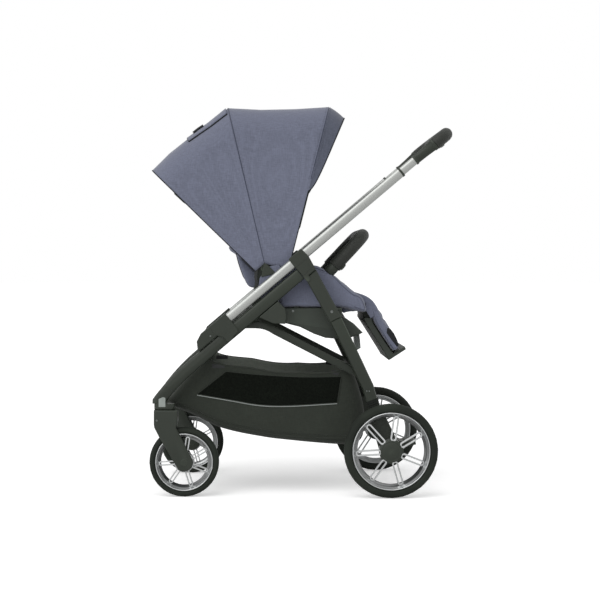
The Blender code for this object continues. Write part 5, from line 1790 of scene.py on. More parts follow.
    def trims(self) -> None:
        """Binding on the rear edge and the brow, piping over the bows, and two rows of stitches."""
        rear_edge = self.row(lambda u: self.drape(self.rear_arches(), 0.0, u, (0.0,)))
        self.behind(cord("canopy_rear_binding", [rear_edge], 0.0014, DARK_BINDING), Slot.SEAT)
        ridge = self.row(lambda u: self.arch(self.middle).point(u), 0.005, 0.995)
        publish(cord("canopy_middle_piping", [ridge], 0.0011, SEAM_CLOTH), "canopy_middle", Slot.SEAT)
        brow_seam = self.row(lambda u: self.arch(self.front).point(u), 0.20, 0.80)
        publish(cord("canopy_visor_seam", [brow_seam], 0.0009, SEAM_CLOTH), "canopy_front", Slot.SEAT)
        brow = self.row(lambda u: self.front_place(u, 1.0))
        publish(cord("canopy_brow_binding", [brow], 0.0015, DARK_BINDING), "canopy_front", Slot.SEAT)
        rows = []
        for shift in (0.006, -0.006):
            line = [p + FORWARD * shift for p in brow_seam]
            raised = [p + (p - INSIDE_CANOPY).normalized() * 0.0002 for p in line]
            rows += stitches(even(raised, 0.001))
        thread = cord("canopy_visor_stitches", rows, 0.0003, BLUE_THREAD, round_steps=0)
        publish(thread, "canopy_front", Slot.SEAT)

    def vent_place(self, across: float, share: float, lift: float) -> Vector:
        """A point over the rear sheet between the crease and the middle bow.

        Args:
            across: Share of the way across the flap.
            share: Share of the way up to the bow.
            lift: Height over the sheet.

        Returns:
            The point.
        """
        u = 0.5 + (across - 0.5) * 0.30
        v = 0.49 + 0.49 * share
        place = self.rear_place(u, v)
        return place + Vector((-0.62, 0.0, 0.78)) * lift

    def vent(self) -> None:
        """The vent flap over the crown, with its zip and a pull tab at each side."""
        flap = cloth_sheet("canopy_vent_flap", 48, 20, lambda u, v: self.vent_place(u, v, 0.0042), 0.0014,
                           BLUE_CLOTH, INSIDE_CANOPY)
        declared_sheet(flap, (0.373, 0.141))
        self.behind(baked(flap), Slot.SEAT)
        zips = [self.row(lambda v, u=u: self.vent_place(u, v, 0.0018), count=40) for u in (0.0, 1.0)]
        zips.append(self.row(lambda u: self.vent_place(u, 0.0, 0.0018), count=60))
        self.behind(cord("canopy_vent_zip", zips, 0.0019, DARK_BINDING), Slot.SEAT)
        for side, u in ((Side.LEFT, 0.10), (Side.RIGHT, 0.90)):
            low = self.vent_place(u, 0.17, 0.0072)
            high = self.vent_place(u, 0.43, 0.0072)
            bm = swept([low, low.lerp(high, 0.5) + UP * 0.001, high], ACROSS, [(0.0052, 0.022)] * 3, 20, 5.0)
            self.behind(object_of(f"canopy_vent_tab_{side.word}", bm, STRAP), Slot.WEBBING)


@dataclass(frozen=True)
class Surface:
    """A finished piece that trims are laid on."""

    tree: BVHTree

    @classmethod
    def of(cls, piece: Piece) -> "Surface":
        """Reads a piece's mesh as it is now."""
        bpy.context.view_layer.update()
        return cls(BVHTree.FromObject(piece, bpy.context.evaluated_depsgraph_get()))

    def hit(self, start: Vector, way: Vector, lift: float = 0.0) -> Vector:
        """Where a line meets the piece.

        Args:
            start: Where the line starts.
            way: Its direction.
            lift: How far off the surface the answer stands.

        Returns:
            The point, or the start where the line misses.
        """
        place, normal, _, _ = self.tree.ray_cast(start, way)
        return start if place is None else place + normal * lift

    def side(self, point: Point, side: Side, lift: float = 0.0) -> Vector:
        """The piece's surface as seen from one side of the stroller.

        Args:
            point: The place to look at.
            side: Which side.
            lift: How far off the surface the answer stands.

        Returns:
            The point, or the nearest one of the piece where the line misses.
        """
        start = at(point, side.value * 0.6)
        found = self.hit(start, ACROSS * -side.value, lift)
        if found != start:
            return found
        place, normal, _, _ = self.tree.find_nearest(at(point, side.value * 0.2))
        return place + normal * lift

    def along(self, line: Sequence[Point], side: Side, lift: float) -> list[Vector]:
        """Points of a line on one side of the piece, without those that lie past its edge.

        Args:
            line: The line.
            side: Which side.
            lift: How far off the surface the points stand.

        Returns:
            The points.
        """
        ways = ACROSS * -side.value
        starts = [at(p, side.value * 0.6) for p in line]
        return [self.hit(s, ways, lift) for s in starts if self.tree.ray_cast(s, ways)[0] is not None]


def falls_within(value: float, low: float, high: float, soft: float) -> float:
    """1 well inside a range, 0 outside it, with soft ends."""
    return clamped((value - low) / soft) * clamped((high - value) / soft)


@dataclass(frozen=True)
class Pad:
    """A padded piece: swollen by simulated pressure, then sewn into channels.

    The cover is a copy of the frame's closed solid. Where the pad rests on something it comes back to that
    solid's own face, and elsewhere it stands proud by no more than the crown.
    """

    node: str
    crown: float
    channels: tuple[tuple[Vector, Vector, Vector], ...]
    free: Callable[[Vector, Vector], float]
    fill: float = 0.5
    voxel: float = 0.006
    channel_width: float = 0.0070
    channel_depth: float = 0.0028

    def build(self, slot: Slot, finish: Finish) -> Piece:
        """Makes the pad.

        Args:
            slot: The record's slot.
            finish: Its cloth.

        Returns:
            The piece.
        """
        piece = object_of(f"{self.node}_cover", frame_copy(self.node), finish, angle=180.0, recalculate=False)
        solid = Surface.of(piece)
        remesh = piece.modifiers.new("voxels", "REMESH")
        remesh.mode = "VOXEL"
        remesh.voxel_size = self.voxel
        baked(piece)
        self.relax(piece, 2)
        self.swell(piece)
        self.cap(piece, solid)
        self.relax(piece, 2)
        fine = piece.modifiers.new("fine", "SUBSURF")
        fine.levels = fine.render_levels = 1
        baked(piece)
        self.sew(piece)
        piece.data.materials.clear()
        piece.data.materials.append(finish.build())
        piece.data.shade_smooth()
        return publish(piece, body_of(self.node), slot, self.node)

    def relax(self, piece: Piece, times: int) -> None:
        """Evens the cover's mesh.

        Args:
            piece: The cover.
            times: How often.
        """
        bm = bmesh.new()
        bm.from_mesh(piece.data)
        for _ in range(times):
            bmesh.ops.smooth_vert(bm, verts=bm.verts, factor=0.5, use_axis_x=True, use_axis_y=True,
                                  use_axis_z=True)
        bm.to_mesh(piece.data)
        bm.free()

    def swell(self, piece: Piece) -> None:
        """Fills the cover with simulated pressure for twenty frames.

        The sides keep their place, because they are stretched over the board, and nowhere does it sink in
        by more than half a millimetre.

        Args:
            piece: The cover.
        """
        scene = bpy.context.scene
        normals = [vert.normal.copy() for vert in piece.data.vertices]
        starts = [vert.co.copy() for vert in piece.data.vertices]
        for vert, normal in zip(piece.data.vertices, normals):
            vert.co -= normal * 0.002
        cloth = piece.modifiers.new("stuffing", "CLOTH")
        cloth.settings.quality = 5
        cloth.settings.use_pressure = True
        cloth.settings.uniform_pressure_force = 4.0
        cloth.settings.effector_weights.gravity = 0.0
        cloth.settings.tension_stiffness = 12.0
        cloth.settings.compression_stiffness = 12.0
        cloth.settings.bending_stiffness = 0.4
        cloth.point_cache.frame_start = 1
        cloth.point_cache.frame_end = 20
        for number in range(1, 21):
            scene.frame_set(number)
        baked(piece)
        scene.frame_set(1)
        for vert, start, normal in zip(piece.data.vertices, starts, normals):
            sideways = clamped((abs(normal.y) - 0.35) / 0.3)
            place = vert.co.lerp(start, sideways)
            place -= normal * min((place - start).dot(normal) + 0.0005, 0.0)
            vert.co = place

    def cap(self, piece: Piece, solid: Surface) -> None:
        """Holds the cover within its crown, and on the solid's own face where it rests on something.

        Args:
            piece: The cover.
            solid: The frame's own solid.
        """
        for vert in piece.data.vertices:
            near, normal, _, _ = solid.tree.find_nearest(vert.co)
            out = (vert.co - near).dot(normal)
            allowed = self.crown * self.free(near, normal)
            lowest = -0.0015 if allowed < 0.0005 else -0.006
            target = min(max(out, lowest), allowed)
            vert.co += normal * (target - out)

    def sew(self, piece: Piece) -> None:
        """Presses the sewn channels in. Each runs between two points, on the faces that look one way.

        Args:
            piece: The cover.
        """
        normals = [vert.normal.copy() for vert in piece.data.vertices]
        for vert, normal in zip(piece.data.vertices, normals):
            depth = 0.0
            for start, end, facing in self.channels:
                if normal.dot(facing) < 0.35:
                    continue
                run = end - start
                share = clamped((vert.co - start).dot(run) / run.length_squared)
                away = vert.co - (start + run * share)
                away -= facing * away.dot(facing)
                depth = max(depth, exp(-(away.length / self.channel_width) ** 2))
            vert.co -= normal * depth * self.channel_depth


@dataclass(frozen=True)
class SeatUnit:
    """The seat, calf rest and back, with their boards, pads, seams and harness."""

    strap_width: float = 0.025
    crotch_width: float = 0.036 * 0.8
    strap_thickness: float = 0.0022
    shell_rise: float = 0.5270
    knee: tuple[Triple, Triple] = ((0.180, 0.0, 0.553), (0.214, 0.0, 0.532))
    behind: Vector = Vector((-sin(BACK_ANGLE), 0.0, cos(BACK_ANGLE)))

    def build(self) -> None:
        """Makes the boards, then each pad with its trims, and the harness."""
        refined("calf_frame", SHELL_PLASTIC, Slot.PLASTIC, ease=0.0009)
        shell = frame_copy("seat_base")
        for vert in shell.verts:
            if abs(vert.co.y) < 0.105 and 0.11 < vert.co.x < 0.172 and 0.500 < vert.co.z < self.shell_rise:
                vert.co.z = self.shell_rise
        base = eased(object_of("seat_base_finished", shell, SHELL_PLASTIC), 0.0009)
        publish(base, "seat", Slot.PLASTIC, "seat_base")
        board = frame_copy("backrest_frame")
        for vert in board.verts:
            reach = vert.co - at(HUB, 0.0)
            along = reach.dot(Vector((cos(BACK_ANGLE), 0.0, sin(BACK_ANGLE))))
            limit = -0.0205 + 0.025 * along
            vert.co -= self.behind * max(0.0, reach.dot(self.behind) + limit)
        publish(eased(object_of("backrest_board", board, SHELL_PLASTIC), 0.0009), "backrest", Slot.PLASTIC,
                "backrest_frame")
        refined("seat_release_lever", TAB_PLASTIC, Slot.PLASTIC, ease=0.0009)
        self.recline_handle()
        self.seat()
        self.calf()
        self.waterfall()
        self.back()
        for side in Side:
            self.hub_trims(side)

    def recline_handle(self) -> None:
        """The squeeze handle behind the top of the back, low against the board."""
        bm = frame_copy("recline_handle")
        out = self.behind
        foot = min(v.co.dot(out) for v in bm.verts)
        for vert in bm.verts:
            vert.co -= out * ((vert.co.dot(out) - foot) * 0.7 + 0.005)
        piece = eased(object_of("recline_handle_finished", bm, SHELL_PLASTIC), 0.0012)
        publish(piece, "recline_handle", Slot.PLASTIC, "recline_handle")

    def waterfall(self) -> None:
        """The padded fold of cloth that runs from the seat's front edge down to the calf cushion."""
        outline = [
            (0.1480, 0.5725), (0.1690, 0.5700), (0.1890, 0.5620), (0.2040, 0.5510), (0.2140, 0.5380),
            (0.2210, 0.5240), (0.2120, 0.5190), (0.2030, 0.5300), (0.1950, 0.5380), (0.1850, 0.5420),
            (0.1500, 0.5460),
        ]
        piece = object_of("calf_waterfall", prism(smooth_line(outline, 48), 0.0, 0.3235), BLUE_CLOTH)
        baked(eased(piece, 0.0045, 4))
        publish_between(piece, Slot.SEAT, ("seat", "calf_rest"), *self.knee)
        gusset = [
            (0.1790, 0.5600), (0.1850, 0.5420), (0.1870, 0.5200), (0.2000, 0.4990), (0.2090, 0.5060),
            (0.2150, 0.5220), (0.2080, 0.5420), (0.1950, 0.5560),
        ]
        for side in Side:
            plate = prism(gusset, side.value * 0.1604, 0.0016)
            flap = object_of(f"calf_gusset_{side.word}", plate, BLUE_CLOTH)
            baked(eased(flap, 0.0007))
            publish_between(flap, Slot.SEAT, ("seat", "calf_rest"), *self.knee)

    def hub_trims(self, side: Side) -> None:
        """The cloth gore over the seat's hub ear, its dark cover and the strap behind it.

        Args:
            side: Which side.
        """
        out = side.value
        gore = [
            (-0.1190, 0.6150), (-0.1160, 0.6200), (-0.0970, 0.6470), (-0.0660, 0.6535), (-0.0500, 0.6340),
            (-0.0600, 0.5750), (-0.1100, 0.5500), (-0.1240, 0.5800),
        ]
        plate = prism(gore, out * 0.2162, 0.0018)
        flap = eased(object_of(f"seat_hub_gore_{side.word}", plate, BLUE_CLOTH), 0.0008)
        publish(baked(flap), "seat", Slot.SEAT)
        cover = [
            (-0.1150, 0.6180), (-0.1065, 0.6580), (-0.0975, 0.6545), (-0.0765, 0.6330), (-0.0790, 0.6270),
        ]
        plate = object_of(f"seat_hub_cover_{side.word}", prism(cover, out * 0.2186, 0.0026), FRAME_PLASTIC)
        publish(eased(plate, 0.0011, 3), "seat", Slot.PLASTIC)
        way = ((-0.1290, 0.6390), (-0.1300, 0.6180), (-0.1270, 0.5960), (-0.1210, 0.5820))
        path = [at(p, out * 0.2112) for p in way]
        bm = swept_flat(path, ACROSS, 0.0085, 0.0018)
        strap = object_of(f"seat_hub_strap_{side.word}", bm, STRAP)
        publish_between(strap, Slot.WEBBING, ("seat", "backrest"), (-0.1215, 0.0, 0.5850),
                        (-0.1295, 0.0, 0.6250))

    def seat(self) -> None:
        """The seat cushion with its two side wings, piped along the wings' upper edge."""
        facing = Vector((-0.10, 0.0, 0.995))
        lines = []
        for y in (-0.055, 0.055):
            lines.append((Vector((-0.030, y, 0.571)), Vector((0.150, y, 0.556)), facing))
        for x in (0.020, 0.090):
            lines.append((Vector((x, -0.150, 0.568)), Vector((x, 0.150, 0.568)), facing))

        def free(place: Vector, normal: Vector) -> float:
            """How far the seat cushion may stand proud: not below, nor beside the hubs.

            Args:
                place: A point of the cushion.
                normal: Its direction outwards.

            Returns:
                The share of the crown.
            """
            below = 1.0 - clamped((-normal.z - 0.15) / 0.3)
            outwards = abs(normal.y) if place.y * normal.y > 0 else 0.0
            side = 1.0 - clamped((outwards - 0.4) / 0.3)
            back = falls_within(place.x, -0.045, 0.5, 0.02)
            return below * back * max(side, 0.12)

        pad = Pad("seat_pad", 0.0055, tuple(lines), free, fill=0.55).build(Slot.SEAT, BLUE_CLOTH)
        surface = Surface.of(pad)
        self.wing_trims(surface)

    def wing_trims(self, surface: Surface) -> None:
        """Piping round each wing's outer face, and a row of stitches within it.

        Args:
            surface: The seat cushion.
        """
        outline = [
            (0.1500, 0.5340), (0.1790, 0.5260), (0.1680, 0.5570), (0.1440, 0.5700), (0.1205, 0.5890),
            (0.0840, 0.6240), (0.0430, 0.6430), (-0.0110, 0.6500), (-0.0450, 0.6420), (-0.0560, 0.6180),
        ]
        for side in Side:
            line = smooth_line(outline, 90)
            edge = [surface.side(p, side, 0.0002) for p in line]
            publish(cord(f"seat_wing_piping_{side.word}", [edge], 0.0013, BLUE_LINING), "seat", Slot.SEAT)
            centre = Vector((0.040, 0.585))
            inner = [tuple(centre + (Vector(p) - centre) * 0.91) for p in line]
            row = stitches(even([surface.side(p, side, 0.0003) for p in inner], 0.0008))
            thread = cord(f"seat_wing_stitches_{side.word}", row, 0.0003, BLUE_THREAD, round_steps=0)
            publish(thread, "seat", Slot.SEAT)

    def calf(self) -> None:
        """The calf cushion, with cross channels, a bound edge and a dark kick guard."""
        facing = Vector((0.86, 0.0, 0.51))
        lines = []
        for share in (0.36, 0.68):
            place = Vector((0.2115, 0.0, 0.5380)).lerp(Vector((0.2815, 0.0, 0.4220)), share)
            lines.append((place + ACROSS * -0.150, place + ACROSS * 0.150, facing))

        def free(place: Vector, normal: Vector) -> float:
            """How far the calf cushion may stand proud: only on the side that faces the legs."""
            return clamped((normal.dot(facing) - 0.2) / 0.3) * falls_within(place.z, 0.412, 0.53, 0.02)

        pad = Pad("calf_pad", 0.0050, tuple(lines), free, voxel=0.005, fill=0.45)
        surface = Surface.of(pad.build(Slot.SEAT, BLUE_CLOTH))
        outline = [(0.2035, 0.5350), (0.2150, 0.4950), (0.2410, 0.4490), (0.2660, 0.4120)]
        for side in Side:
            edge = [surface.side(p, side, 0.0002) for p in smooth_line(outline, 50)]
            publish(cord(f"calf_binding_{side.word}", [edge], 0.0010, BLUE_LINING), "calf_rest", Slot.SEAT)
        guard = [
            (0.2444, 0.4570), (0.2476, 0.4713), (0.2559, 0.4702), (0.2674, 0.4556), (0.2763, 0.4372),
            (0.2815, 0.4217), (0.2772, 0.4160), (0.2625, 0.4323),
        ]
        piece = object_of("calf_kick_guard", prism(guard, 0.0, 0.3250), DARK_BINDING)
        baked(eased(piece, 0.0030, 3))
        publish(piece, "calf_rest", Slot.SEAT)

    def back(self) -> None:
        """The back cushion with channels between the straps, its tail binding, and the harness on it."""
        facing = Vector((sin(BACK_ANGLE), 0.0, -cos(BACK_ANGLE)))
        lines = []
        for y in (-0.095, 0.095):
            lines.append((at(back_point(0.040, 0.02), y), at(back_point(0.385, 0.02), y), facing))
        for e in (0.120, 0.225, 0.320):
            lines.append((at(back_point(e, 0.02), -0.090), at(back_point(e, 0.02), 0.090), facing))

        def free(place: Vector, normal: Vector) -> float:
            """How far the back cushion may stand proud: on the side that faces the child's back.

            Args:
                place: A point of the cushion.
                normal: Its direction outwards.

            Returns:
                The share of the crown.
            """
            front = clamped((normal.dot(facing) - 0.2) / 0.3)
            offset = Vector((place.x - HUB[0], place.z - HUB[1]))
            up = offset.dot(Vector((cos(BACK_ANGLE), sin(BACK_ANGLE))))
            return front * falls_within(up, 0.035, 0.42, 0.03)

        pad = Pad("backrest_pad", 0.0060, tuple(lines), free, fill=0.5).build(Slot.SEAT, BLUE_CLOTH)
        surface = Surface.of(pad)
        self.back_trims(surface)
        self.harness(surface, facing)
        self.lap_fold()

    def lap_fold(self) -> None:
        """The cloth between the seat cushion's rear edge and the foot of the back cushion."""
        way = [(-0.0480, 0.5735), (-0.0640, 0.5790), (-0.0790, 0.5960), (-0.0890, 0.6190), (-0.0930, 0.6400)]

        def place(u: float, v: float) -> Vector:
            """A point of the fold.

            Args:
                u: Share of the way across.
                v: Share of the way up.

            Returns:
                The point.
            """
            point = at(smooth_point(way, v), (u - 0.5) * 0.332)
            point.z -= 0.004 * sin(pi * v) * (0.5 + noise.noise(Vector((u * 9, v, 1.0))))
            return point

        sheet = cloth_sheet("seat_back_fold", 64, 16, place, 0.0018, BLUE_CLOTH, Vector((0.0, 0.0, 0.70)))
        declared_sheet(sheet, (0.332, 0.085))
        publish_between(baked(sheet), Slot.SEAT, ("seat", "backrest"), (-0.0560, 0.0, 0.5760),
                        (-0.0920, 0.0, 0.6350))

    def back_trims(self, surface: Surface) -> None:
        """Piping down each side face, and the dark binding on the tail's fold.

        Args:
            surface: The back cushion.
        """
        face = [(0.375, 0.0090), (0.200, 0.0130), (0.060, 0.0120), (0.005, 0.0020)]
        tail = [
            (0.0870, -0.0235), (0.0570, -0.0425), (0.0090, -0.0665), (-0.0095, -0.0680), (-0.0240, -0.0520),
        ]
        for side in Side:
            line = smooth_line([back_point(*p) for p in face], 80)
            edge = [surface.side(p, side, 0.0002) for p in line]
            publish(cord(f"back_side_piping_{side.word}", [edge], 0.0013, BLUE_LINING), "backrest", Slot.SEAT)
            line = smooth_line([back_point(*p) for p in tail], 50)
            edge = surface.along(line, side, 0.0002)
            binding = cord(f"back_tail_binding_{side.word}", [edge], 0.0016, DARK_BINDING)
            publish(binding, "backrest", Slot.SEAT)

    def strap(self, name: str, surface: Surface, facing: Vector, way: Sequence[Point], width: float,
              thickness: float, finish: Finish) -> Piece:
        """A flat strap laid on the back cushion.

        Args:
            name: The piece's name.
            surface: The cushion.
            facing: The direction that the cushion faces.
            way: Points of the strap's middle, each its height up the back and its distance across.
            width: The strap's width.
            thickness: The strap's thickness.
            finish: Its webbing or cloth.

        Returns:
            The object, not yet published.
        """
        path = []
        for e, y in smooth_line(way, 14 * len(way)):
            start = at(back_point(e, 0.10), y)
            path.append(surface.hit(start, -facing, thickness / 2 + 0.0012))
        for _ in range(3):
            middle = [(a + b + c) / 3 for a, b, c in zip(path, path[1:], path[2:])]
            path = [path[0], *middle, path[-1]]
        bm = swept_flat(path, facing, width, thickness)
        return object_of(name, bm, finish, angle=50.0)

    def harness(self, surface: Surface, facing: Vector) -> None:
        """Five-point harness: two padded shoulder straps, two waist straps, a crotch strap and a buckle.

        Args:
            surface: The back cushion.
            facing: The direction that it faces.
        """
        pieces = []
        for side in Side:
            s = side.value
            word = side.word
            way = [(0.335, 0.060 * s), (0.200, 0.057 * s), (0.110, 0.034 * s), (0.075, 0.016 * s)]
            shoulder = self.strap(f"harness_shoulder_{word}", surface, facing, way, self.strap_width,
                                  self.strap_thickness, STRAP)
            way = [(0.325, 0.060 * s), (0.260, 0.059 * s), (0.185, 0.056 * s)]
            cover = self.strap(f"harness_shoulder_pad_{word}", surface, facing, way, 0.048, 0.0075,
                               BLUE_LINING)
            way = [(0.040, 0.120 * s), (0.052, 0.070 * s), (0.066, 0.018 * s)]
            waist = self.strap(f"harness_waist_{word}", surface, facing, way, self.strap_width,
                               self.strap_thickness, STRAP)
            pieces += [shoulder, cover, waist]
        crotch = self.strap("harness_crotch", surface, facing, [(0.030, 0.0), (0.048, 0.0), (0.062, 0.0)],
                            self.crotch_width, self.strap_thickness, STRAP)
        buckle = self.strap("harness_buckle", surface, facing, [(0.054, 0.0), (0.070, 0.0), (0.086, 0.0)],
                            0.046, 0.012, FRAME_PLASTIC)
        centre = surface.hit(at(back_point(0.070, 0.10), 0.0), -facing, 0.0128)
        button = disc("harness_button", centre, 0.0105, 0.0030, facing, TAB_PLASTIC)
        pieces += [crotch, eased(buckle, 0.0022, 3), button]
        for piece in pieces[:-1]:
            if piece.name.startswith("harness_shoulder_pad"):
                eased(piece, 0.0022, 3)
        publish(pieces[0], "backrest", Slot.WEBBING, "harness")
        for piece in pieces[1:]:
            publish(piece, "backrest", Slot.WEBBING)


def smooth_line(points: Sequence[Point], count: int) -> list[Point]:
    """Points on the smooth curve through others."""
    return [smooth_point(points, i / count) for i in range(count + 1)]


def swept_flat(path: Sequence[Vector], facing: Vector, width: float, thickness: float) -> Mesh:
    """A strap of rounded oblong section along a path.

    Args:
        path: Points of its middle.
        facing: The direction that its flat face looks.
        width: Its width.
        thickness: Its thickness.

    Returns:
        The closed strap.
    """
    bm = bmesh.new()
    count = 20
    ring = bmesh.ops.create_circle(bm, cap_ends=True, segments=count, radius=1.0)["verts"]
    for i, point in enumerate(path):
        tangent = (path[min(i + 1, len(path) - 1)] - path[max(i - 1, 0)]).normalized()
        across = tangent.cross(facing).normalized()
        up = across.cross(tangent)
        if i:
            ring = extruded_ring(bm, ring)
        ring_at(ring, point, up, across, (thickness, width), 6.0)
    bm.faces.new(ring)
    return bm


@dataclass(frozen=True)
class Basket:
    """The shopping basket: one sewn tub of cloth that hangs from the frame and sags."""

    half: float = 0.198
    wall: float = 0.0028
    corner: float = 0.030
    cuts: int = 35
    rear_bulge: float = 0.017
    top: tuple[Point, ...] = (
        (-0.2780, 0.3980), (-0.2425, 0.3760), (-0.1570, 0.3620), (-0.0660, 0.3490), (0.0100, 0.3455),
        (0.0790, 0.3480), (0.1430, 0.3560),
    )
    bottom: tuple[Point, ...] = (
        (-0.3906, 0.2559), (-0.3155, 0.2280), (-0.2310, 0.1875), (-0.1145, 0.1620), (-0.0275, 0.1510),
        (0.1015, 0.1385), (0.1740, 0.1385),
    )

    def line(self, points: Sequence[Point], share: float) -> Vector:
        """A point on a smooth line.

        Args:
            points: Points that the line runs through.
            share: Share of its length.

        Returns:
            The point.
        """
        fine = smooth_line(points, 60)
        lengths = [0.0]
        for a, b in zip(fine, fine[1:]):
            lengths.append(lengths[-1] + (Vector(b) - Vector(a)).length)
        want = share * lengths[-1]
        for i in range(60):
            if lengths[i + 1] >= want - 1e-12:
                t = (want - lengths[i]) / (lengths[i + 1] - lengths[i])
                return Vector(fine[i]).lerp(Vector(fine[i + 1]), t)
        return Vector(fine[-1])

    def place(self, along: float, across: float, height: float) -> Vector:
        """A point of the tub, with its sag.

        Args:
            along: Share of the way from front to rear.
            across: -1 on the left and 1 on the right.
            height: Share of the way up to the rim.

        Returns:
            The point.
        """
        low = self.line(self.bottom, along)
        high = self.line(self.top, along)
        point = at(tuple(low.lerp(high, height)), across * self.half)
        belly = 4 * height * (1 - height)
        span = 4 * along * (1 - along)
        edge = abs(across) ** 6
        point.y += (0.0035 * belly * span - 0.0020 * belly * (1 - span)) * edge * (1 if across > 0 else -1)
        floor = (1 - height) ** 4 * (1 - across * across)
        point.z -= 0.006 * floor * span
        folds = noise.noise(Vector((point.x * 11, point.y * 9, point.z * 6)))
        folds += 0.5 * noise.noise(Vector((point.x * 26, point.y * 21, point.z * 12 + 5)))
        point.y += folds * 0.0024 * belly * edge
        point.z += folds * 0.0022 * floor
        rim = height ** 8
        point.z -= 0.0030 * rim * abs(sin(3 * pi * along)) * edge
        ends = abs(2 * along - 1) ** 12
        outwards = 1 if along > 0.5 else -1
        point.x += (0.006 * belly * (1 - across * across) + folds * 0.003 * belly) * ends * outwards
        point.x += self.rear_bulge * belly * max(2 * along - 1, 0.0) ** 6
        return point

    def build(self) -> None:
        """Makes the tub and everything sewn to it."""
        bm = bmesh.new()
        bmesh.ops.create_cube(bm, size=1.0)
        lid = [f for f in bm.faces if f.normal.z > 0.5]
        bmesh.ops.delete(bm, geom=lid, context="FACES_ONLY")
        bmesh.ops.subdivide_edges(bm, edges=bm.edges, cuts=self.cuts, use_grid_fill=True)
        size = Vector((0.52, 2 * self.half, 0.22))
        for vert in bm.verts:
            corner = Vector([(c + 0.5) * s for c, s in zip(vert.co, size)])
            held = Vector((
                min(max(corner.x, self.corner), size.x - self.corner),
                min(max(corner.y, self.corner), size.y - self.corner), max(corner.z, self.corner),
            ))
            out = corner - held
            if out.length > 1e-9:
                corner = held + out.normalized() * self.corner
            vert.co = self.place(corner.x / size.x, 2 * corner.y / size.y - 1, min(corner.z / size.z, 1.0))
        bmesh.ops.recalc_face_normals(bm, faces=bm.faces)
        look_outwards(bm, INSIDE_BASKET)
        tub = object_of("basket_tub", bm, DARK_CLOTH, angle=180.0, recalculate=False)
        # The inner shell takes the lighter lining cloth: partly its own grey, partly painted light on the
        # shaded inner walls.
        tub.data.materials.append(BASKET_LINING_PAINTED_LIGHT.build())
        solid = tub.modifiers.new("cloth", "SOLIDIFY")
        solid.thickness = self.wall
        solid.offset = -1.0
        solid.material_offset = 1
        declared_sheet(tub, (1.000, 0.860))
        publish(baked(tub), "chassis", Slot.DARK_CLOTH, "basket")
        surface = Surface.of(tub)
        self.rim_binding()
        for side in Side:
            self.window(surface, side)
            self.hem(surface, side)
            self.clips(side)

    def rim_binding(self) -> None:
        """Tape round the whole upper edge."""
        count = 48
        left = [self.place(i / count, -1.0, 1.0) for i in range(count + 1)]
        rear = [self.place(1.0, -1 + 2 * i / count, 1.0) for i in range(1, count)]
        right = [self.place(1 - i / count, 1.0, 1.0) for i in range(count + 1)]
        front = [self.place(0.0, 1 - 2 * i / count, 1.0) for i in range(1, count)]
        loop = left + rear + right + front
        binding = cord("basket_rim_binding", [loop], 0.0026, DARK_CLOTH, closed=True)
        publish(binding, "chassis", Slot.DARK_CLOTH)

    def window(self, surface: Surface, side: Side) -> None:
        """The net window in one side, bound all round, with pale piping along its lower edge.

        Args:
            surface: The tub.
            side: Which side.
        """
        upper = [(-0.2150, 0.3500), (-0.1265, 0.3410), (0.0015, 0.3335), (0.1135, 0.3345)]
        lower = [
            (-0.2975, 0.2850), (-0.2020, 0.2690), (-0.1175, 0.2550), (-0.0275, 0.2530), (0.1015, 0.2600),
        ]

        def place(u: float, v: float) -> Vector:
            """A point of the net.

            Args:
                u: Share of the way along.
                v: Share of the way down.

            Returns:
                The point.
            """
            high = Vector(smooth_point(upper, u))
            low = Vector(smooth_point(lower, u))
            return surface.side(tuple(high.lerp(low, v)), side, 0.0016)

        # The net is opaque: the shade of the basket's inside, seen through it, is painted into its dark
        # colour.
        net = cloth_sheet(f"basket_window_{side.word}", 72, 16, place, 0.0012, DARK_NET_PAINTED_SHADE, INSIDE_BASKET)
        declared_sheet(net, (0.400, 0.105))
        publish(baked(net), "chassis", Slot.DARK_CLOTH)
        edge = [place(i / 60, 0.0) for i in range(61)] + [place(1.0, i / 16) for i in range(1, 16)]
        edge += [place(1 - i / 60, 1.0) for i in range(61)] + [place(0.0, 1 - i / 16) for i in range(1, 16)]
        publish(cord(f"basket_window_binding_{side.word}", [edge], 0.0011, DARK_CLOTH, closed=True),
                "chassis", Slot.DARK_CLOTH)
        piping = [surface.side((p[0], p[1] - 0.0028), side, 0.0006) for p in smooth_line(lower, 70)]
        publish(cord(f"basket_piping_{side.word}", [piping], 0.0014, PALE_PIPING), "chassis", Slot.DARK_CLOTH)

    def clips(self, side: Side) -> None:
        """The tabs that hang the rim from the leg in front and from the brace behind.

        Args:
            side: Which side.
        """
        for name, middle, size, turn in (("front", (-0.2370, 0.3650), (0.036, 0.012), 0.0),
                                         ("rear", (0.0960, 0.3450), (0.020, 0.011), -0.30)):
            centre = at(middle, side.value * (self.half - 0.0010))
            reach = at((size[0] / 2 * cos(turn), size[0] / 2 * sin(turn)), 0.0)
            path = [centre - reach, centre, centre + reach]
            bm = swept(path, ACROSS, [(size[1], 0.0040)] * 3, 24, 5.0)
            tab = object_of(f"basket_clip_{name}_{side.word}", bm, STRAP)
            publish(eased(tab, 0.0012), "chassis", Slot.WEBBING)

    def hem(self, surface: Surface, side: Side) -> None:
        """The folded hem of the lower edge, and the row of stitches that closes it.

        Args:
            surface: The tub.
            side: Which side.
        """
        line = [(-0.3700, 0.2560), (-0.3150, 0.2390), (-0.2310, 0.2010), (-0.1145, 0.1760), (-0.0275, 0.1650),
                (0.1015, 0.1580), (0.1600, 0.1610)]
        rows = (("hem", 0.0, 0.0022, DARK_CLOTH), ("hem_stitches", 0.0085, 0.0004, DARK_THREAD))
        for name, lift, radius, finish in rows:
            path = [surface.side((p[0], p[1] + lift), side, 0.0003) for p in smooth_line(line, 110)]
            runs = [path] if name == "hem" else stitches(even(path, 0.0008))
            steps = 3 if name == "hem" else 0
            publish(cord(f"basket_{name}_{side.word}", runs, radius, finish, round_steps=steps), "chassis",
                    Slot.DARK_CLOTH)


# Studio


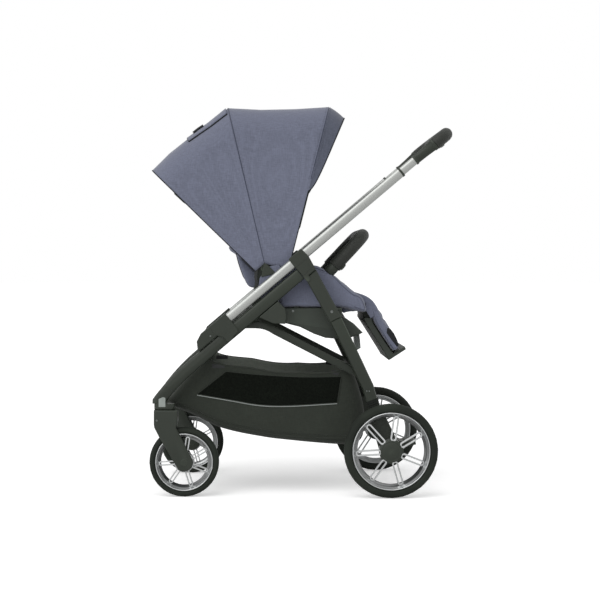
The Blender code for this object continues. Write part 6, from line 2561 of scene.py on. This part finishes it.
@dataclass(frozen=True)
class Studio:
    """Floor, lamps, pale surroundings and camera."""

    camera: Triple = (-0.1125, -4.34, 0.661)
    tilt: float = radians(88.505)
    pan: float = radians(-1.495)
    lens: float = 87.4
    world: float = 0.62
    floor_lift: float = 0.42
    key: float = 1.15
    fill: float = 23.0

    def build(self) -> None:
        """Sets up everything round the stroller."""
        scene = bpy.context.scene
        scene.view_settings.view_transform = "Standard"
        self.surroundings(scene)
        self.floor()
        sun = bpy.data.lights.new("key", "SUN")
        sun.energy = self.key
        sun.angle = radians(50.0)
        lamp = bpy.data.objects.new("key", sun)
        lamp.rotation_euler = Vector((0.42, 0.62, -1.0)).to_track_quat("-Z", "Y").to_euler()
        scene.collection.objects.link(lamp)
        self.lamp("fill", (-2.6, -3.4, 1.4), 2.0, self.fill)
        lens = bpy.data.cameras.new("camera")
        lens.lens = self.lens
        lens.sensor_width = 36.0
        view = bpy.data.objects.new("camera", lens)
        view.location = self.camera
        view.rotation_euler = (self.tilt, 0.0, self.pan)
        scene.collection.objects.link(view)
        scene.camera = view

    def surroundings(self, scene: bpy.types.Scene) -> None:
        """White to the eye, to gloss and through clear parts, and plain light to everything else.

        Args:
            scene: The scene.
        """
        world = bpy.data.worlds.new("studio")
        world.use_nodes = True
        scene.world = world
        tree = world.node_tree
        tree.nodes.clear()
        path = add_node(tree, "ShaderNodeLightPath", {}).outputs
        rays = {0: path["Is Camera Ray"], 1: path["Is Glossy Ray"]}
        seen = add_node(tree, "ShaderNodeMath", rays, operation="MAXIMUM").outputs[0]
        rays = {0: seen, 1: path["Is Transmission Ray"]}
        clear = add_node(tree, "ShaderNodeMath", rays, operation="MAXIMUM").outputs[0]
        white = (1.0, 1.0, 1.0, 1.0)
        light, plain = [
            add_node(tree, "ShaderNodeBackground", {"Color": white, "Strength": strength}).outputs[0]
            for strength in (self.world, 1.0)
        ]
        mixed = add_node(tree, "ShaderNodeMixShader", {0: clear, 1: light, 2: plain}).outputs[0]
        add_node(tree, "ShaderNodeOutputWorld", {"Surface": mixed})

    def floor(self) -> None:
        """A large pale floor that keeps the stroller's shadow."""
        bm = bmesh.new()
        bmesh.ops.create_grid(bm, x_segments=1, y_segments=1, size=40.0)
        mesh = bpy.data.meshes.new("floor")
        bm.to_mesh(mesh)
        bm.free()
        floor = bpy.data.objects.new("floor", mesh)
        bpy.context.scene.collection.objects.link(floor)
        graph = Graph("pale_floor", 0.9)
        graph.set("Base Color", (0.86, 0.86, 0.86, 1.0))
        graph.set("Specular IOR Level", 0.0)
        seen = graph.node("ShaderNodeLightPath", {}).outputs["Is Camera Ray"]
        graph.set("Emission Color", (1.0, 1.0, 1.0, 1.0))
        graph.use("Emission Strength", graph.math("MULTIPLY", seen, self.floor_lift))
        mesh.materials.append(graph.material)

    def lamp(self, name: str, place: Triple, size: float, power: float) -> None:
        """A square soft lamp that looks at the stroller's middle.

        Args:
            name: Its name.
            place: Where it stands.
            size: Its width.
            power: Its power in watts.
        """
        light = bpy.data.lights.new(name, "AREA")
        light.size = size
        light.energy = power
        lamp = bpy.data.objects.new(name, light)
        lamp.location = place
        lamp.rotation_euler = (Vector((-0.05, 0.0, 0.5)) - Vector(place)).to_track_quat("-Z", "Y").to_euler()
        bpy.context.scene.collection.objects.link(lamp)


def wheels() -> list[Wheel]:
    """The four wheels.

    Returns:
        The rear and front wheel of the left side, then of the right.
    """
    made = []
    for side in Side:
        made.append(Wheel(
            WheelKind.REAR, side, axle=REAR_AXLE, track=0.277, radius=0.132, rim_radius=0.1092, width=0.043,
            hub_radius=0.034, spoke_start=0.0285, spoke_width=0.0172, bar=0.0046, dish=(0.0158, 0.0050),
            hub_recess=0.0042, cap_reach=0.0345, cap_rise=0.0054,
        ))
        made.append(Wheel(
            WheelKind.FRONT, side, axle=FRONT_AXLE, track=0.235, radius=0.098, rim_radius=0.0812, width=0.036,
            hub_radius=0.029, spoke_start=0.0230, spoke_width=0.0130, bar=0.0038, dish=(0.0100, 0.0035),
            hub_recess=0.0030, cap_reach=0.0240, cap_rise=0.0026,
        ))
    return made


def main() -> None:
    """Builds each sub-assembly in turn."""
    logging.basicConfig(level=logging.INFO, format="%(relativeCreated)6.0f ms %(name)s: %(message)s")
    for assembly in (Studio(), Chassis(), Handle(), Bumper(), SeatUnit(), Canopy(), Basket(), *wheels()):
        assembly.build()


if __name__ == "__main__":
    main()
